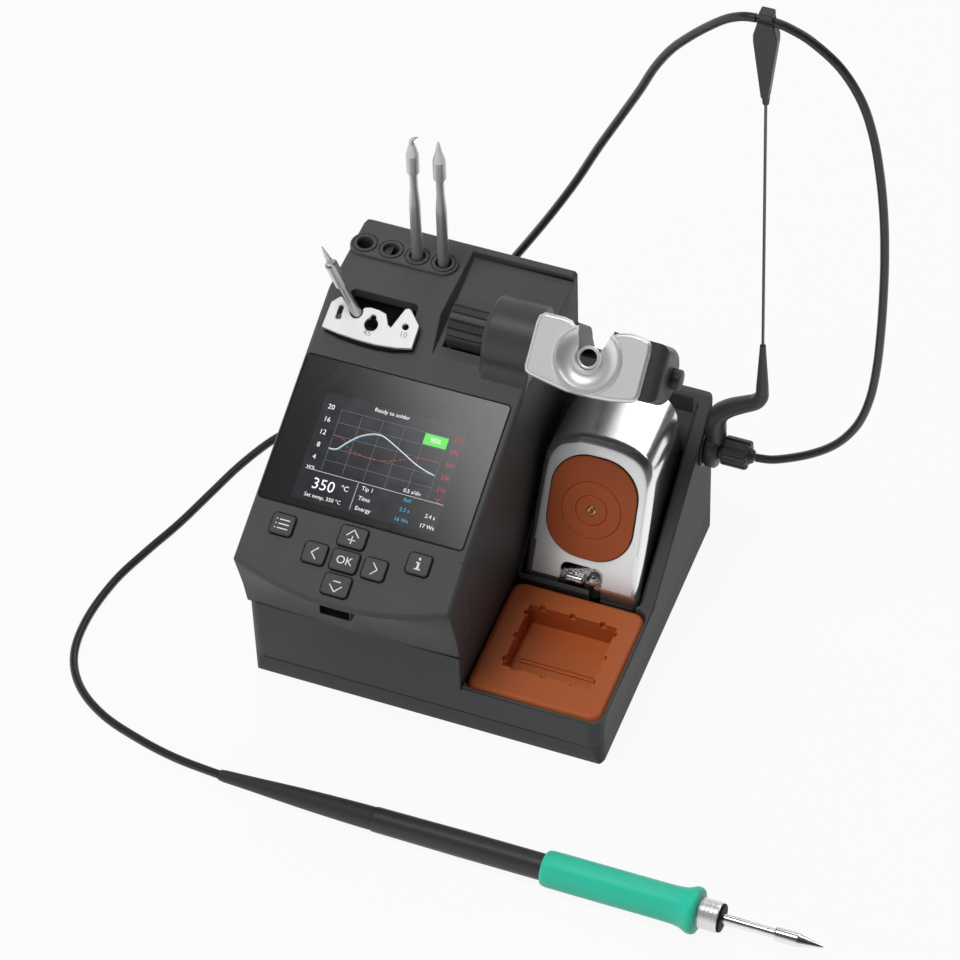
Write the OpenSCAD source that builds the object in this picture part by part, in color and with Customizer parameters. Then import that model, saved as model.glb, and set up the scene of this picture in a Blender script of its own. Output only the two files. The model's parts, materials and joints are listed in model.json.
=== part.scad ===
// Soldering station with tool, cable collector and cartridge rack. Millimetres, +Z up.
// Inside station() x is measured from mid width, y from the front face and z from the table.

/* [Overall] */
// Width of the housing
width = 150; // [148:1:160]
// Depth of the housing at the base
depth = 138; // [136:1:150]
// Height of the housing's flat top above the table
height = 130; // [128:1:140]

/* [Shell] */
// Wall thickness of the housing and the base
wall = 2.5; // [2:0.25:3]
// Radius of the upright corners
corner_r = 6; // [4:0.5:8]
// Size of the softened upper edges
edge = 2.4; // [1.5:0.1:3]
// Height of the seam between base and housing
seam_z = 13; // [11:0.5:14]
// How far the rubber feet stand proud of the base
foot_proud = 1; // [0.8:0.1:1.5]
// Diameter of a rubber foot
foot_d = 14; // [10:1:18]
// Distance of the feet from the front and rear faces
foot_in = 27; // [24:1:40]

/* [Console] */
// Width of the console, from the left side to the bay
console_w = 91; // [91:1:95]
// Slope of the display panel in degrees
panel_tilt = 24; // [23:0.5:25]
// Rise of the display panel from its front lip to the flat top
panel_rise = 48; // [46:1:50]
// How far the lip's ends stand in front of the front face
lip_out = 10.5; // [9:0.5:12]
// How far the lip bows forward at its middle, along the panel
lip_bow = 8.5; // [6:0.5:10]
// How far below the lip the front wall starts to flare
flare_drop = 36; // [32:1:42]
// How far the lower front wall stands proud of the base line
front_proud = 2; // [1:0.25:2.5]
// Thickness of the display panel wall
panel_t = 4.5; // [4:0.25:5]

/* [Display] */
// Width of the glass
glass_w = 85.6; // [84:0.2:86]
// Length of the glass along the panel
glass_l = 61.4; // [58:0.2:64]
// Thickness of the glass
glass_t = 2; // [1.5:0.25:2.5]
// Distance from the lip to the glass
glass_s = 27; // [26:0.5:30]
// Width of the display module
screen_w = 63; // [60:1:66]
// Length of the display module along the panel
screen_l = 48; // [45:1:50]
// Thickness of the display module
screen_t = 4; // [3:0.5:5]

/* [Keys] */
// Width of the small keys
key_w = 9.4; // [8:0.2:9.6]
// Width of the wide keys
wide_key_w = 11.2; // [10:0.2:11.6]
// Length of every key along the panel
key_l = 8.6; // [8:0.2:8.8]
// How far a key stands proud of the panel
key_proud = 1.2; // [1:0.1:2]
// Travel of a key
key_travel = 0.8; // [0.5:0.1:1]

/* [Cartridges] */
// Length of a soldering cartridge
cartridge_l = 105; // [100:1:110]
// Diameter of a cartridge's shank
cartridge_d = 4.5; // [4:0.1:4.8]
// Spacing of the rack holes
rack_pitch = 11.2; // [10.5:0.1:11.4]
// Bore of a rack hole
rack_bore = 6.5; // [6:0.1:7]
// Outer diameter of a rack sleeve
rack_sleeve = 9.2; // [8.8:0.1:9.6]
// Depth of a rack hole
rack_depth = 36; // [30:1:40]

/* [Extractor] */
// Width of the extractor plate
extractor_w = 38.4; // [37:0.2:39]
// Thickness of the extractor plate
extractor_t = 2; // [1.5:0.25:2.5]
// Depth of the extractor pocket below the top
pocket_depth = 67; // [64:1:70]
// Lean of the parked cartridge to the left in degrees
lean_left = 19; // [16:0.5:21]
// Lean of the parked cartridge to the front in degrees
lean_front = 3.3; // [2:0.1:4]

/* [Holder] */
// Rest angle of the tool holder's front plate in degrees
holder_lean = 40; // [36:1:44]
// Radius of the holder head's round back
head_r = 11.75; // [11:0.25:12.5]
// Distance of the holder head from the housing's right side
head_side = 3.5; // [3:0.5:6]
// Distance from the tilt axis to the holder's front plane
head_front = 19.5; // [18:0.5:21]
// Thickness of the holder plate
plate_t = 1.5; // [1:0.25:2]
// Diameter of the tool bore
tool_bore = 10; // [9.5:0.25:11]
// Diameter of the tilt shaft
shaft_d = 6; // [5:0.5:6.5]
// Radius of the bracket
bracket_r = 15.5; // [15:0.25:16.5]
// Radius of the knob
knob_r = 9.8; // [9:0.2:11]
// Length of the knob
knob_l = 16; // [14:0.5:17]

/* [Bay] */
// Height of the bay's rim round the tray
rim_z = 28; // [26:0.5:30]
// Height of the rim at the rear of the tip guard
rim_top = 78; // [76:1:80]
// Length of the silicone tray from front to back
tray_l = 59; // [56:0.5:60]
// Height of the silicone tray
tray_h = 11.8; // [10:0.2:12]
// Depth of the tray's recess
tray_recess = 11; // [8:0.5:11]
// Wall of the bay beside the tray
bay_wall = 1.2; // [1:0.1:2]
// Wall of the bay beside the tip guard
bay_side = 5; // [4:0.25:6]

/* [Tip guard] */
// Distance of the tip guard from the housing's right side
guard_side = 7.6; // [7:0.2:9]
// Slope of the guard's face in degrees
guard_slope = 65.5; // [62:0.5:70]
// Height of the guard's crown above the table
guard_z = 86.4; // [84:0.2:88]
// Rise of the guard's arched roof
guard_arch = 9.4; // [7:0.2:11]
// Space between the guard's foot and the bay's rear wall
guard_back = 9; // [8:0.5:12]
// Thickness of the guard's sheet
guard_t = 1.2; // [1:0.1:1.5]

/* [Connector and collector] */
// Height of the tool socket above the table
socket_z = 60.5; // [58:0.5:62]
// Distance of the tool socket from the rear face
socket_back = 13; // [12:0.5:14]
// Outer radius of the socket's collar
socket_r = 9; // [8.5:0.25:9.5]
// Diameter of the plug's nut
plug_nut_d = 12.3; // [11.6:0.1:13]
// Diameter of the collector's rod
rod_d = 1.2; // [1:0.1:1.6]
// Length of the collector's rod
rod_l = 162; // [150:1:170]
// Lean of the rod to the left in degrees
rod_lean = 0.85; // [0:0.05:1]

/* [Cable] */
// Diameter of the tool cable
cable_d = 3.5; // [3:0.1:3.8]

/* [Handle] */
// Length of the strain relief
relief_l = 66.8; // [60:0.2:70]
// Length of the handle's rear body
body_l = 72; // [68:1:76]
// Diameter of the handle's rear body
body_d = 10.4; // [10:0.1:11]
// Length of the soft grip
grip_l = 64.5; // [60:0.5:68]
// Diameter of the soft grip
grip_d = 14.7; // [14:0.1:16]
// Diameter of the flange at the front of the grip
flange_d = 19.5; // [18:0.1:20]
// Diameter of the grooved nut
nut_d = 11.5; // [11:0.1:12.5]
// How far the cartridge stands out of the grip
tip_out = 50.5; // [48:0.5:54]

/* [Hidden] */

$fn = 64;
fit = 0.05;       // running clearance of a shaft in its bore
gap = 0.3;        // clearance between separate pieces
eps = 0.01;       // overlap of solids joined into one
shell_color = [0.29, 0.29, 0.30];
steel_color = [0.72, 0.72, 0.74];
orange_color = [0.62, 0.32, 0.15];

left = -width / 2;
right = width / 2;
bay_x = left + console_w;
lip_y = -lip_out;
lip_z = height - panel_rise;
flare_z = lip_z - flare_drop;
panel_end = panel_rise / sin(panel_tilt);
panel_top_y = lip_y + panel_rise / tan(panel_tilt);
nose_back = 8;
floor_z = foot_proud + wall;
part_in = wall + 0.5;       // where the console's walls end and its face begins
top_front = 74;             // where the face ends and the cartridge block's top begins
top_inner = height - wall;

// Height of the panel's surface at a distance y from the front face
function panel_at(y) = lip_z + (y - lip_y) * tan(panel_tilt);
panel_drop = panel_t / cos(panel_tilt);

// The deck beside the cartridge block, where the holder stands
step_x = left + 48;
deck_z0 = height - 6.8;
deck_z1 = height - 2.7;
deck_y0 = lip_y + (deck_z0 - lip_z) / tan(panel_tilt);
deck_y1 = depth - 5;
deck_slope = (deck_z1 - deck_z0) / (deck_y1 - deck_y0);
function deck_at(y) = deck_z0 + (y - deck_y0) * deck_slope;

// Tilt axis of the holder
axis_y = deck_y0 + 14.4;
axis_z = height - 2;
bracket_x0 = bay_x - 21;
bracket_x1 = bay_x - 0.3;
head_x0 = bay_x + 0.3;
head_x1 = right - head_side;
head_l = head_x1 - head_x0;
bore_x = head_x0 + 23.4;
bore_u = -0.5;
foot_sink = 4;

// Rack and pocket
rack_y = depth - 15.6;
rack_x0 = left + 6;
rack_bottom = height - rack_depth;
pocket_x0 = left + 8.5;
pocket_x1 = step_x - 4;
pocket_y0 = panel_top_y - 21.5;
pocket_y1 = panel_top_y + 2.7;
pocket_floor = height - pocket_depth;
pocket_wall = 1.5;
zone_x = pocket_x1 + pocket_wall + 0.2;

// Extractor plate: local origin at its lower left corner, in the panel's plane
plate_x = left + 4.4;
plate_s = panel_end - 18.4;
plate_v = 2;
notch = [11.4, 9.4];
lean = unit([-tan(lean_left), -tan(lean_front), 1]);

// Keys: place from the left side and from the lip, then width
key_places = [
    [15.3, 18.1, key_w],
    [44.1, 20.5, wide_key_w],
    [31.6, 10.4, key_w],
    [44.1, 10.4, wide_key_w],
    [56.6, 10.4, key_w],
    [44.1, 0.2, wide_key_w],
    [72.9, 17.0, key_w]
];
key_stem = 2.4;
board_v = -panel_t - 5.2;

// USB port under the lip
usb_x = left + 43.05;
usb_w = 13.4;
usb_h = 6;
usb_z = lip_z - 15.2;
usb_y = lip_y - 1.5;

// Bay, tray and guard
tray_y0 = 0.4;
tray_y1 = tray_y0 + tray_l;
bay_floor = seam_z + 2;
slope_y = tray_y1 + 1.6;
bay_back = depth - 5.5;
rim_slope = atan((rim_top - rim_z) / (bay_back - slope_y));
insert_t = 1.5;
guard_x0 = bay_x + 2.2;
guard_x1 = right - guard_side;
guard_w = guard_x1 - guard_x0;
guard_y0 = tray_y1 + 4.1;
guard_y1 = bay_back - guard_back;
guard_l = guard_y1 - guard_y0;
guard_foot = bay_floor + 3;
face_z = rim_z - 2;

// Membrane on the guard's face, and the cup of brass wool behind it
hole_y = 36;
cup_r = guard_w / 2 - 6.6;
cup_l = guard_l - 28;
cup_t = 1.2;
cup_front = 4;

// Connector at the right side
socket_y = depth - socket_back;
rod_x = right + 23.2;
rod_z = socket_z + 40;
clip_hole = rod_l + 38.7;

// Mains side at the rear
inlet_x = left + 72;
switch_x = left + 22;
earth_x = left + 47;
rear_z = 62;
transformer_x = left + 45;
transformer_y = depth - 48;
transformer_r = 37;
transformer_h = 34;
boss_r = 4;
screw_r = 1.5;
boss_places = [
    [left + 9, 9.5], [bay_x - 8, 9.5], [left + 9, depth - 8.5], [bay_x - 8, depth - 8.5]
];
boss_h = 22;
foot_places = [for (x = [left + 13, right - 13], y = [foot_in, depth - foot_in]) [x, y]];

// Main board
board_x0 = left + 14;
board_w = 66;
board_y0 = 14;
board_l = 34;
board_z = 20;

// Handle, lying on the table in front
handle_y = -58;
handle_z = 5.1;
handle_yaw = -1.1;
handle_nose_up = 2;
grip_x1 = body_l + grip_l;

// Cable routes: points in the station's own coordinates
cable_r = cable_d / 2;
plug_route = [
    [96.5, 125, 60.5], [103, 125, 61.8], [110.5, 125, 65.6], [119, 125, 71.2], [127.1, 125, 78.4],
    [133.6, 125, 87.2], [139, 125, 99], [142.6, 125, 114.5], [144.4, 125, 133], [145.1, 125, 153],
    [145.2, 125, 173], [144.8, 125, 193], [143.6, 125, 214], [141.3, 125, 235], [137.8, 125, 255],
    [132.5, 125, 272], [124, 125, 286], [113, 125, 295.5], [104.5, 125, 299.6], [98.8, 125, 301],
    [95.2, 125, 301.2], [91.8, 125, 301.2]
];
handle_route = [
    [91.2, 125, 301.1], [86, 125.3, 300], [79.5, 126.5, 295.8], [72, 128.5, 288], [64, 130.5, 278.5],
    [56, 132.5, 267.5], [49, 134.2, 254.5], [42.5, 136, 239], [33.5, 138.5, 219], [24, 141, 198],
    [14, 143.5, 174.5], [3, 146, 151], [-8, 148.5, 129], [-19, 150.5, 108], [-31, 152, 86],
    [-43, 152.5, 64.5], [-56, 152, 44], [-70, 150, 26], [-83, 146, 12.5], [-95, 139, 4.5],
    [-106, 128, 2], [-115, 115.5, 1.8], [-122.5, 98, 1.8], [-128, 80, 1.8], [-134, 60, 1.8],
    [-141, 41, 1.8], [-147, 22, 1.8], [-149.6, 0, 1.8], [-147, -19, 1.8], [-138, -33.5, 1.8],
    [-123, -44, 1.8], [-104, -50.5, 1.8], [-86, -54.6, 2.2], [-67, -56.7, 2.8]
];

// Moves from distances to the part's own frame, whose origin is under the front left foot
module station() { translate([-foot_places[0][0], -foot_places[0][1], 0]) children(); }

// Draws a side outline (y, z) as a solid from x0 to x1
module along_x(x0, x1) { translate([x0, 0, 0]) rotate([90, 0, 90]) linear_extrude(x1 - x0) children(); }

// Draws a front outline (x, z) as a solid from y0 to y1
module along_y(y0, y1) { translate([0, y1, 0]) rotate([90, 0, 0]) linear_extrude(y1 - y0) children(); }

// Draws a plan outline (x, y) as a solid from z0 to z1
module along_z(z0, z1) { translate([0, 0, z0]) linear_extrude(z1 - z0) children(); }

// The panel's frame: x across, y up the slope from the lip, z out of the panel
module on_panel() { translate([0, lip_y, lip_z]) rotate([panel_tilt, 0, 0]) children(); }

// The holder's frame: x along the tilt axis, z out of the front plate
module on_holder() { translate([0, axis_y, axis_z]) rotate([holder_lean, 0, 0]) children(); }

// The handle's frame: x from the rear end of the body to the tip
module on_handle() {
    translate([0, handle_y, handle_z])
        rotate([0, -handle_nose_up, handle_yaw])
            rotate([0, 90, 0])
                children();
}

// A cylinder along x
module rod_x(x0, x1, r, y, z) { translate([x0, y, z]) rotate([0, 90, 0]) cylinder(r = r, h = x1 - x0); }

// A rectangle with round corners, given by two opposite corners
module round_rect(x0, y0, x1, y1, r) {
    translate([x0 + r, y0]) square([x1 - x0 - 2 * r, y1 - y0]);
    translate([x0, y0 + r]) square([x1 - x0, y1 - y0 - 2 * r]);
    for (x = [x0 + r, x1 - r], y = [y0 + r, y1 - r])
        translate([x, y]) circle(r = r);
}

// Everything under an upper edge with softened corners, as an outline (x, z)
module soft_top(x0, x1, top) {
    foot = top - edge - 2.6;
    polygon([
        [x0 - 1, top - 200], [x0 - 1, foot], [x0 + edge * 0.25, top - edge * 0.35], [x0 + edge * 0.7, top],
        [x1 - edge * 0.7, top], [x1 - edge * 0.25, top - edge * 0.35], [x1 + 1, foot], [x1 + 1, top - 200]
    ]);
}

// Plan of the console's front at one height: straight sides and a bowed front edge
module nose_plan(front, back, bow, inset) {
    half = console_w / 2 - inset + eps;
    radius = (half * half + bow * bow) / (2 * bow);
    intersection() {
        translate([left + inset - eps, front - bow]) square([2 * half, back - front + bow]);
        translate([left + console_w / 2, front - bow + radius]) circle(r = radius, $fn = 128);
    }
}

module nose_slice(z, front, bow) {
    translate([0, 0, z]) linear_extrude(eps) nose_plan(front, nose_back + 4, bow, 0);
}

module nose_panel_slice(v, inset) {
    on_panel() translate([0, 0, v]) linear_extrude(eps)
        nose_plan(inset, (nose_back + 2 + lip_out) / cos(panel_tilt), lip_bow, inset);
}

// The flared front of the console, from the straight wall up to the bowed lip
module console_nose() {
    lower_z = flare_z + 13;
    upper_z = flare_z + 24;
    hull() {
        nose_slice(flare_z - 1, -front_proud, 0.1);
        nose_slice(lower_z, -front_proud - 1.8, 2.2);
    }
    hull() {
        nose_slice(lower_z, -front_proud - 1.8, 2.2);
        nose_slice(upper_z, -front_proud - 4.8, 5.2);
    }
    hull() {
        nose_slice(upper_z, -front_proud - 4.8, 5.2);
        nose_panel_slice(-edge, 0);
        nose_panel_slice(-edge * 0.35, edge * 0.25);
        nose_panel_slice(-eps, edge * 0.7);
    }
}

module plan_outline() { round_rect(left, -front_proud, right, depth, corner_r); }

module console_plan() {
    intersection() {
        plan_outline();
        translate([left, -20]) square([console_w, depth + 40]);
    }
}

// Outside of the console behind the nose
module console_block() {
    along_z(seam_z, flare_z) console_plan();
    intersection() {
        along_x(left - 1, bay_x + 1)
            polygon([
                [nose_back, seam_z], [nose_back, panel_at(nose_back)], [panel_top_y, height],
                [depth - edge * 0.7, height], [depth - edge * 0.25, height - edge * 0.35],
                [depth, height - edge], [depth + 1, height - 2 * edge], [depth + 1, seam_z]
            ]);
        along_z(seam_z, height + 1) console_plan();
        along_y(-20, depth + 2) soft_top(left, bay_x, height);
        on_panel() along_y(-60, panel_end + 80) soft_top(left, bay_x, 0);
    }
}

// Outside of the bay, with its rim rising towards the rear
module bay_block() {
    intersection() {
        along_x(bay_x, right)
            polygon([
                [-front_proud, seam_z], [-front_proud, rim_z - 0.8], [0.8 - front_proud, rim_z],
                [slope_y, rim_z], [bay_back, rim_top], [bay_back + 1.5, rim_top + 1.2],
                [depth - 1.5, rim_top + 1.2], [depth, rim_top - 0.3], [depth, seam_z]
            ]);
        along_z(0, height) plan_outline();
    }
}

// Side outline of the console's hollow
module cavity_outline(top) {
    under_y = lip_y + (top + panel_drop - lip_z) / tan(panel_tilt);
    polygon([
        [-front_proud + wall, seam_z - 1], [-front_proud + wall, flare_z + 12], [-3, flare_z + 24],
        [-3, panel_at(-3) - panel_drop], [under_y, top], [depth - wall, top], [depth - wall, seam_z - 1]
    ]);
}

module console_cavity() {
    along_x(left + wall, zone_x) cavity_outline(top_inner);
    along_x(zone_x - eps, bay_x - wall) cavity_outline(height - 18);
    on_panel() along_z(board_v - 4.3, -panel_t) round_rect(left + 23, -3.6, left + 65, 12, 1);
}

// The lower deck beside the cartridge block, with its slanted step and the knob's hollow
module deck_cut() {
    intersection() {
        along_x(step_x - 1, bay_x + 1)
            polygon([
                [deck_y0 - 12, deck_at(deck_y0)], [deck_y0, deck_z0], [deck_y1, deck_z1],
                [deck_y1 + 1, height + 2], [deck_y0 - 12, height + 2]
            ]);
        along_y(0, depth)
            polygon([
                [step_x - 0.4, height + 2], [step_x, height], [step_x + 2.6, deck_z0 - 1],
                [bay_x + 1, deck_z0 - 1], [bay_x + 1, height + 2]
            ]);
    }
    rod_x(bracket_x0 - knob_l - 1.5, bracket_x0, knob_r + 1, axis_y, axis_z);
    bracket_foot(0.1);
}

// The bracket's foot, let into the deck
module bracket_foot(grow) {
    along_x(bracket_x0 - grow, bracket_x1 + 1)
        translate([deck_y0 + 1 - grow, deck_z0 - foot_sink]) square([bracket_r + 11 + 2 * grow, foot_sink + 1]);
}

// Opening above the pocket
module pocket_mouth() {
    along_z(height - 30, height + 2)
        round_rect(left + 10, panel_top_y - 17, step_x - 9.5, panel_top_y + 1.5, 2);
}

module rack_outline(r) {
    last = rack_x0 + 3 * rack_pitch;
    translate([rack_x0, rack_y - r]) square([last - rack_x0, 2 * r]);
    for (x = [rack_x0, last]) translate([x, rack_y]) circle(r = r);
}

module key_outline(place, grow) {
    translate([left + place[0], place[1]])
        round_rect(-place[2] / 2 - grow, -key_l / 2 - grow, place[2] / 2 + grow, key_l / 2 + grow, 1 + grow);
}

module usb_recess() {
    along_y(usb_y - 20, usb_y + 1.2)
        polygon([
            [usb_x - 9, usb_z + 4.2], [usb_x - 7.6, usb_z - 5], [usb_x + 7.6, usb_z - 5],
            [usb_x + 9, usb_z + 4.2]
        ]);
    along_y(usb_y, usb_y + 30) translate([usb_x - usb_w / 2 - 0.1, usb_z - usb_h / 2 - 0.1])
        square([usb_w + 0.2, usb_h + 0.2]);
}

// Pocket of the bay: one room for the tray, one for the tip guard's liner
module bay_pocket() {
    x0 = bay_x - eps;
    along_z(bay_floor, height) {
        round_rect(x0, -front_proud + bay_wall, right - bay_wall, tray_y1 + gap, corner_r - 1);
        translate([x0, tray_y1 - 8]) square([right - bay_wall - x0 - corner_r, 10]);
        round_rect(x0, tray_y1 + 1.1, right - bay_side, bay_back, 3);
        translate([x0, tray_y1 + 1]) square([6, bay_back - tray_y1 - 1]);
    }
}

module rear_cuts() {
    along_y(depth - wall - 1, depth + 1) {
        round_rect(inlet_x - 14.1, rear_z - 17.1, inlet_x + 14.1, rear_z + 17.1, 2);
        round_rect(switch_x - 9.6, rear_z - 6.6, switch_x + 9.6, rear_z + 6.6, 1);
        translate([earth_x, rear_z]) circle(r = 4);
    }
}

// Bosses for the base screws, each with a web to the side wall
module screw_bosses() {
    for (p = boss_places) {
        translate([p[0], p[1], seam_z]) cylinder(r = boss_r, h = boss_h);
        along_x(p[0] < 0 ? left + 1 : p[0], p[0] < 0 ? p[0] : bay_x - 1)
            translate([p[1] - 1, seam_z + 1]) square([2, boss_h - 1]);
    }
}

// The whole console as a shell with its openings, without the screw bosses
module console_shell() {
    difference() {
        union() {
            console_block();
            console_nose();
        }
        console_cavity();
        deck_cut();
        pocket_mouth();
        along_z(rack_bottom - 3, height + 1) rack_outline(rack_sleeve / 2 + 0.15);
        on_panel() {
            along_z(-glass_t, 5)
                round_rect(left + 1.7, glass_s - 0.1, left + 1.9 + glass_w, glass_s + glass_l + 0.1, 3);
            along_z(-panel_t - 1, 5)
                round_rect(left + 12, glass_s + 1, left + 12 + screen_w + 1, glass_s + 2 + screen_l, 1);
            for (p = key_places) along_z(-panel_t - 1, 5) key_outline(p, 0.2);
        }
        usb_recess();
        rear_cuts();
    }
}

// The space between the walls, where the face lies
module face_zone() {
    translate([left + part_in, -40, 0]) cube([console_w - 2 * part_in, depth - part_in + 40, height + 20]);
}

// Left, right and rear wall with the screw bosses
module console_walls() {
    color(shell_color) station() difference() {
        union() {
            difference() {
                console_shell();
                face_zone();
            }
            screw_bosses();
        }
        for (p = boss_places) translate([p[0], p[1], seam_z - 1]) cylinder(r = screw_r, h = boss_h - 3);
    }
}

// The space of the cartridge block's top, with the pocket's mouth and the rack
module top_zone(grow) {
    translate([left + part_in - grow, top_front, height - 40])
        cube([step_x - 0.5 - left - part_in + grow, depth - part_in - top_front + grow, 60]);
}

// Front, display panel and deck
module console_face() {
    color(shell_color) station() difference() {
        intersection() {
            console_shell();
            face_zone();
        }
        top_zone(1);
    }
}

// Top of the cartridge block
module console_top() {
    color(shell_color) station() intersection() {
        console_shell();
        top_zone(0);
    }
}

module stand_bay() {
    color(shell_color) station() difference() {
        bay_block();
        bay_pocket();
        rod_x(right - bay_side - 1, right + 1, 7, socket_y, socket_z);
    }
}

module base_tray() {
    color(shell_color * 0.9) station() {
        difference() {
            intersection() {
                along_z(foot_proud, seam_z) plan_outline();
                along_x(left, right)
                    polygon([
                        [0, 0], [-front_proud * 0.6, foot_proud + 5], [-front_proud, seam_z + 1],
                        [depth, seam_z + 1], [depth, foot_proud + 2], [depth - 1.5, foot_proud], [2, foot_proud]
                    ]);
            }
            along_z(floor_z, seam_z + 1)
                round_rect(left + wall, -front_proud + wall + 1, right - wall, depth - wall, corner_r - wall);
            for (p = foot_places) translate([p[0], p[1], 0]) cylinder(d = foot_d + 0.2, h = foot_proud + 1);
            for (p = boss_places) translate([p[0], p[1], 0]) cylinder(r = 3.2, h = foot_proud + 2.2);
            for (p = boss_places) translate([p[0], p[1], 0]) cylinder(r = 1.7, h = seam_z);
        }
        for (p = boss_places)
            translate([p[0], p[1], floor_z - eps]) difference() {
                cylinder(r = boss_r, h = seam_z - floor_z);
                translate([0, 0, -1]) cylinder(r = 1.7, h = seam_z);
            }
        for (y = [12, depth - 12])
            translate([right - 12, y, floor_z - eps]) cylinder(r = boss_r, h = seam_z - floor_z);
        for (x = [board_x0 + 4, board_x0 + board_w - 4], y = [board_y0 + 4, board_y0 + board_l - 4])
            translate([x, y, floor_z - eps]) cylinder(r = 3, h = board_z - floor_z);
        translate([transformer_x, transformer_y, floor_z - eps]) cylinder(r = 8, h = 1.5);
    }
}

module rubber_feet() {
    color([0.1, 0.1, 0.1]) station()
        for (p = foot_places) translate([p[0], p[1], 0]) cylinder(d = foot_d, h = foot_proud + 1);
}

module base_screws() {
    color(steel_color) station()
        for (p = boss_places) translate([p[0], p[1], foot_proud + 0.2]) {
            cylinder(r = 2.8, h = 2);
            cylinder(r = screw_r - fit, h = 22);
        }
}

module display_window() {
    color([0.05, 0.05, 0.06]) station() on_panel() along_z(-glass_t, 0.15)
        round_rect(left + 1.8, glass_s, left + 1.8 + glass_w, glass_s + glass_l, 3);
}

module display_panel() {
    color([0.15, 0.2, 0.25]) station() on_panel() {
        along_z(-glass_t - screen_t, -glass_t - 0.1)
            translate([left + 12.5, glass_s + 1.5]) square([screen_w, screen_l]);
    }
}

module keypad_board() {
    color([0.1, 0.35, 0.2]) station() on_panel() {
        along_z(board_v, board_v + 1.6) {
            round_rect(left + 7, 12, left + 80, 25, 1);
            translate([left + 24, -3.2]) square([40, 16]);
        }
        for (p = key_places)
            translate([left + p[0], p[1], board_v + 1.6 - eps]) {
                translate([-3, -3, 0]) cube([6, 6, 1.6]);
                cylinder(r = 1.6, h = 2.1);
            }
        for (x = [left + 24, left + 62])
            translate([x, 21, board_v + 1.6 - eps]) cylinder(r = 2, h = -panel_t - board_v - 1.6 + eps);
    }
}

module key(index) {
    place = key_places[index];
    color([0.2, 0.2, 0.21]) station() on_panel() {
        along_z(-panel_t + 0.5, key_proud - 0.4) key_outline(place, 0);
        along_z(key_proud - 0.4 - eps, key_proud) key_outline(place, -0.4);
        translate([left + place[0], place[1], board_v + 1.6 + 2.1 + key_travel + 0.05])
            cylinder(r = key_stem, h = -panel_t + 1 - board_v - 1.6 - 2.1 - key_travel);
    }
}

module key_menu() { key(0); }
module key_up() { key(1); }
module key_left() { key(2); }
module key_ok() { key(3); }
module key_right() { key(4); }
module key_down() { key(5); }
module key_info() { key(6); }

module usb_port() {
    color(steel_color) station() difference() {
        along_y(usb_y + 0.3, usb_y + 14.3) translate([usb_x - usb_w / 2, usb_z - usb_h / 2]) square([usb_w, usb_h]);
        along_y(usb_y - 1, usb_y + 13) translate([usb_x - usb_w / 2 + 0.4, usb_z - usb_h / 2 + 0.4])
            square([usb_w - 0.8, usb_h - 0.8]);
    }
}

// The leaning cartridge's own line, from its foot to its tip, as the local z axis
lean_v = [plate_x + notch[0], lip_y + (plate_s + notch[1]) * cos(panel_tilt) - (plate_v + 2) * sin(panel_tilt),
    lip_z + (plate_s + notch[1]) * sin(panel_tilt) + (plate_v + 2) * cos(panel_tilt)];
lean_down = (lean_v[2] - pocket_floor - 1.3) / lean[2];
module on_lean() {
    translate(lean_v - lean * lean_down)
        rotate([0, acos(lean[2]), atan2(lean[1], lean[0])])
            children();
}

module extractor_outline() {
    w = extractor_w;
    difference() {
        polygon([
            [0, -0.3], [0.4, 10.5], [3, 13.5], [4, 13.8], [8.6, 9.9], [9.7, 7.3], [11.4, 6.3], [13.2, 9.6],
            [14.4, 11.8], [17, 12.4], [20.4, 12.2], [23.6, 11.4], [25.6, 7.4], [27.1, 6.4], [30.3, 15.3],
            [31.6, 16], [32.8, 15.5], [w - 0.4, 10], [w - 0.3, 0.2], [w * 0.82, -1.2], [w * 0.6, -2],
            [w * 0.4, -1.9], [w * 0.18, -1.3]
        ]);
        translate([5.1, 9.4]) circle(r = 1);
        translate([4.1, 5.4]) square([2, 4]);
        translate([5.1, 5.4]) circle(r = 1);
        translate([19.1, 5.6]) circle(r = 2.75);
        translate([19, 8.6]) circle(r = 1.2);
        translate([32.8, 8.2]) circle(r = 1.3);
    }
}

module extractor_plate() {
    color(steel_color) station() difference() {
        on_panel() translate([plate_x, plate_s, plate_v]) linear_extrude(extractor_t) extractor_outline();
        on_lean() cylinder(d = cartridge_d + 0.8, h = cartridge_l);
    }
}

module extractor_base() {
    color([0.16, 0.16, 0.17]) station() difference() {
        on_panel() translate([plate_x, plate_s, 0]) linear_extrude(plate_v)
            polygon([
                [0.4, -0.6], [0.6, 6.5], [9, 5.4], [extractor_w * 0.65, 4.6], [extractor_w - 0.8, 6],
                [extractor_w - 0.6, 0], [extractor_w * 0.8, -2.2], [extractor_w * 0.6, -3],
                [extractor_w * 0.4, -2.9], [extractor_w * 0.18, -2.1]
            ]);
        on_lean() cylinder(d = cartridge_d + 1.2, h = cartridge_l);
    }
}

module extractor_pocket() {
    color([0.13, 0.13, 0.14]) station() difference() {
        intersection() {
            along_z(pocket_floor - pocket_wall, top_inner)
                round_rect(pocket_x0 - pocket_wall, pocket_y0 - pocket_wall, pocket_x1 + pocket_wall,
                    pocket_y1 + pocket_wall, 3);
            along_x(left, bay_x) polygon([
                [-20, 0], [-20, panel_at(-20) - panel_drop - 0.05],
                [depth, panel_at(depth) - panel_drop - 0.05], [depth, 0]
            ]);
        }
        along_z(pocket_floor, height) round_rect(pocket_x0, pocket_y0, pocket_x1, pocket_y1, 3 - pocket_wall);
    }
}

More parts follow.
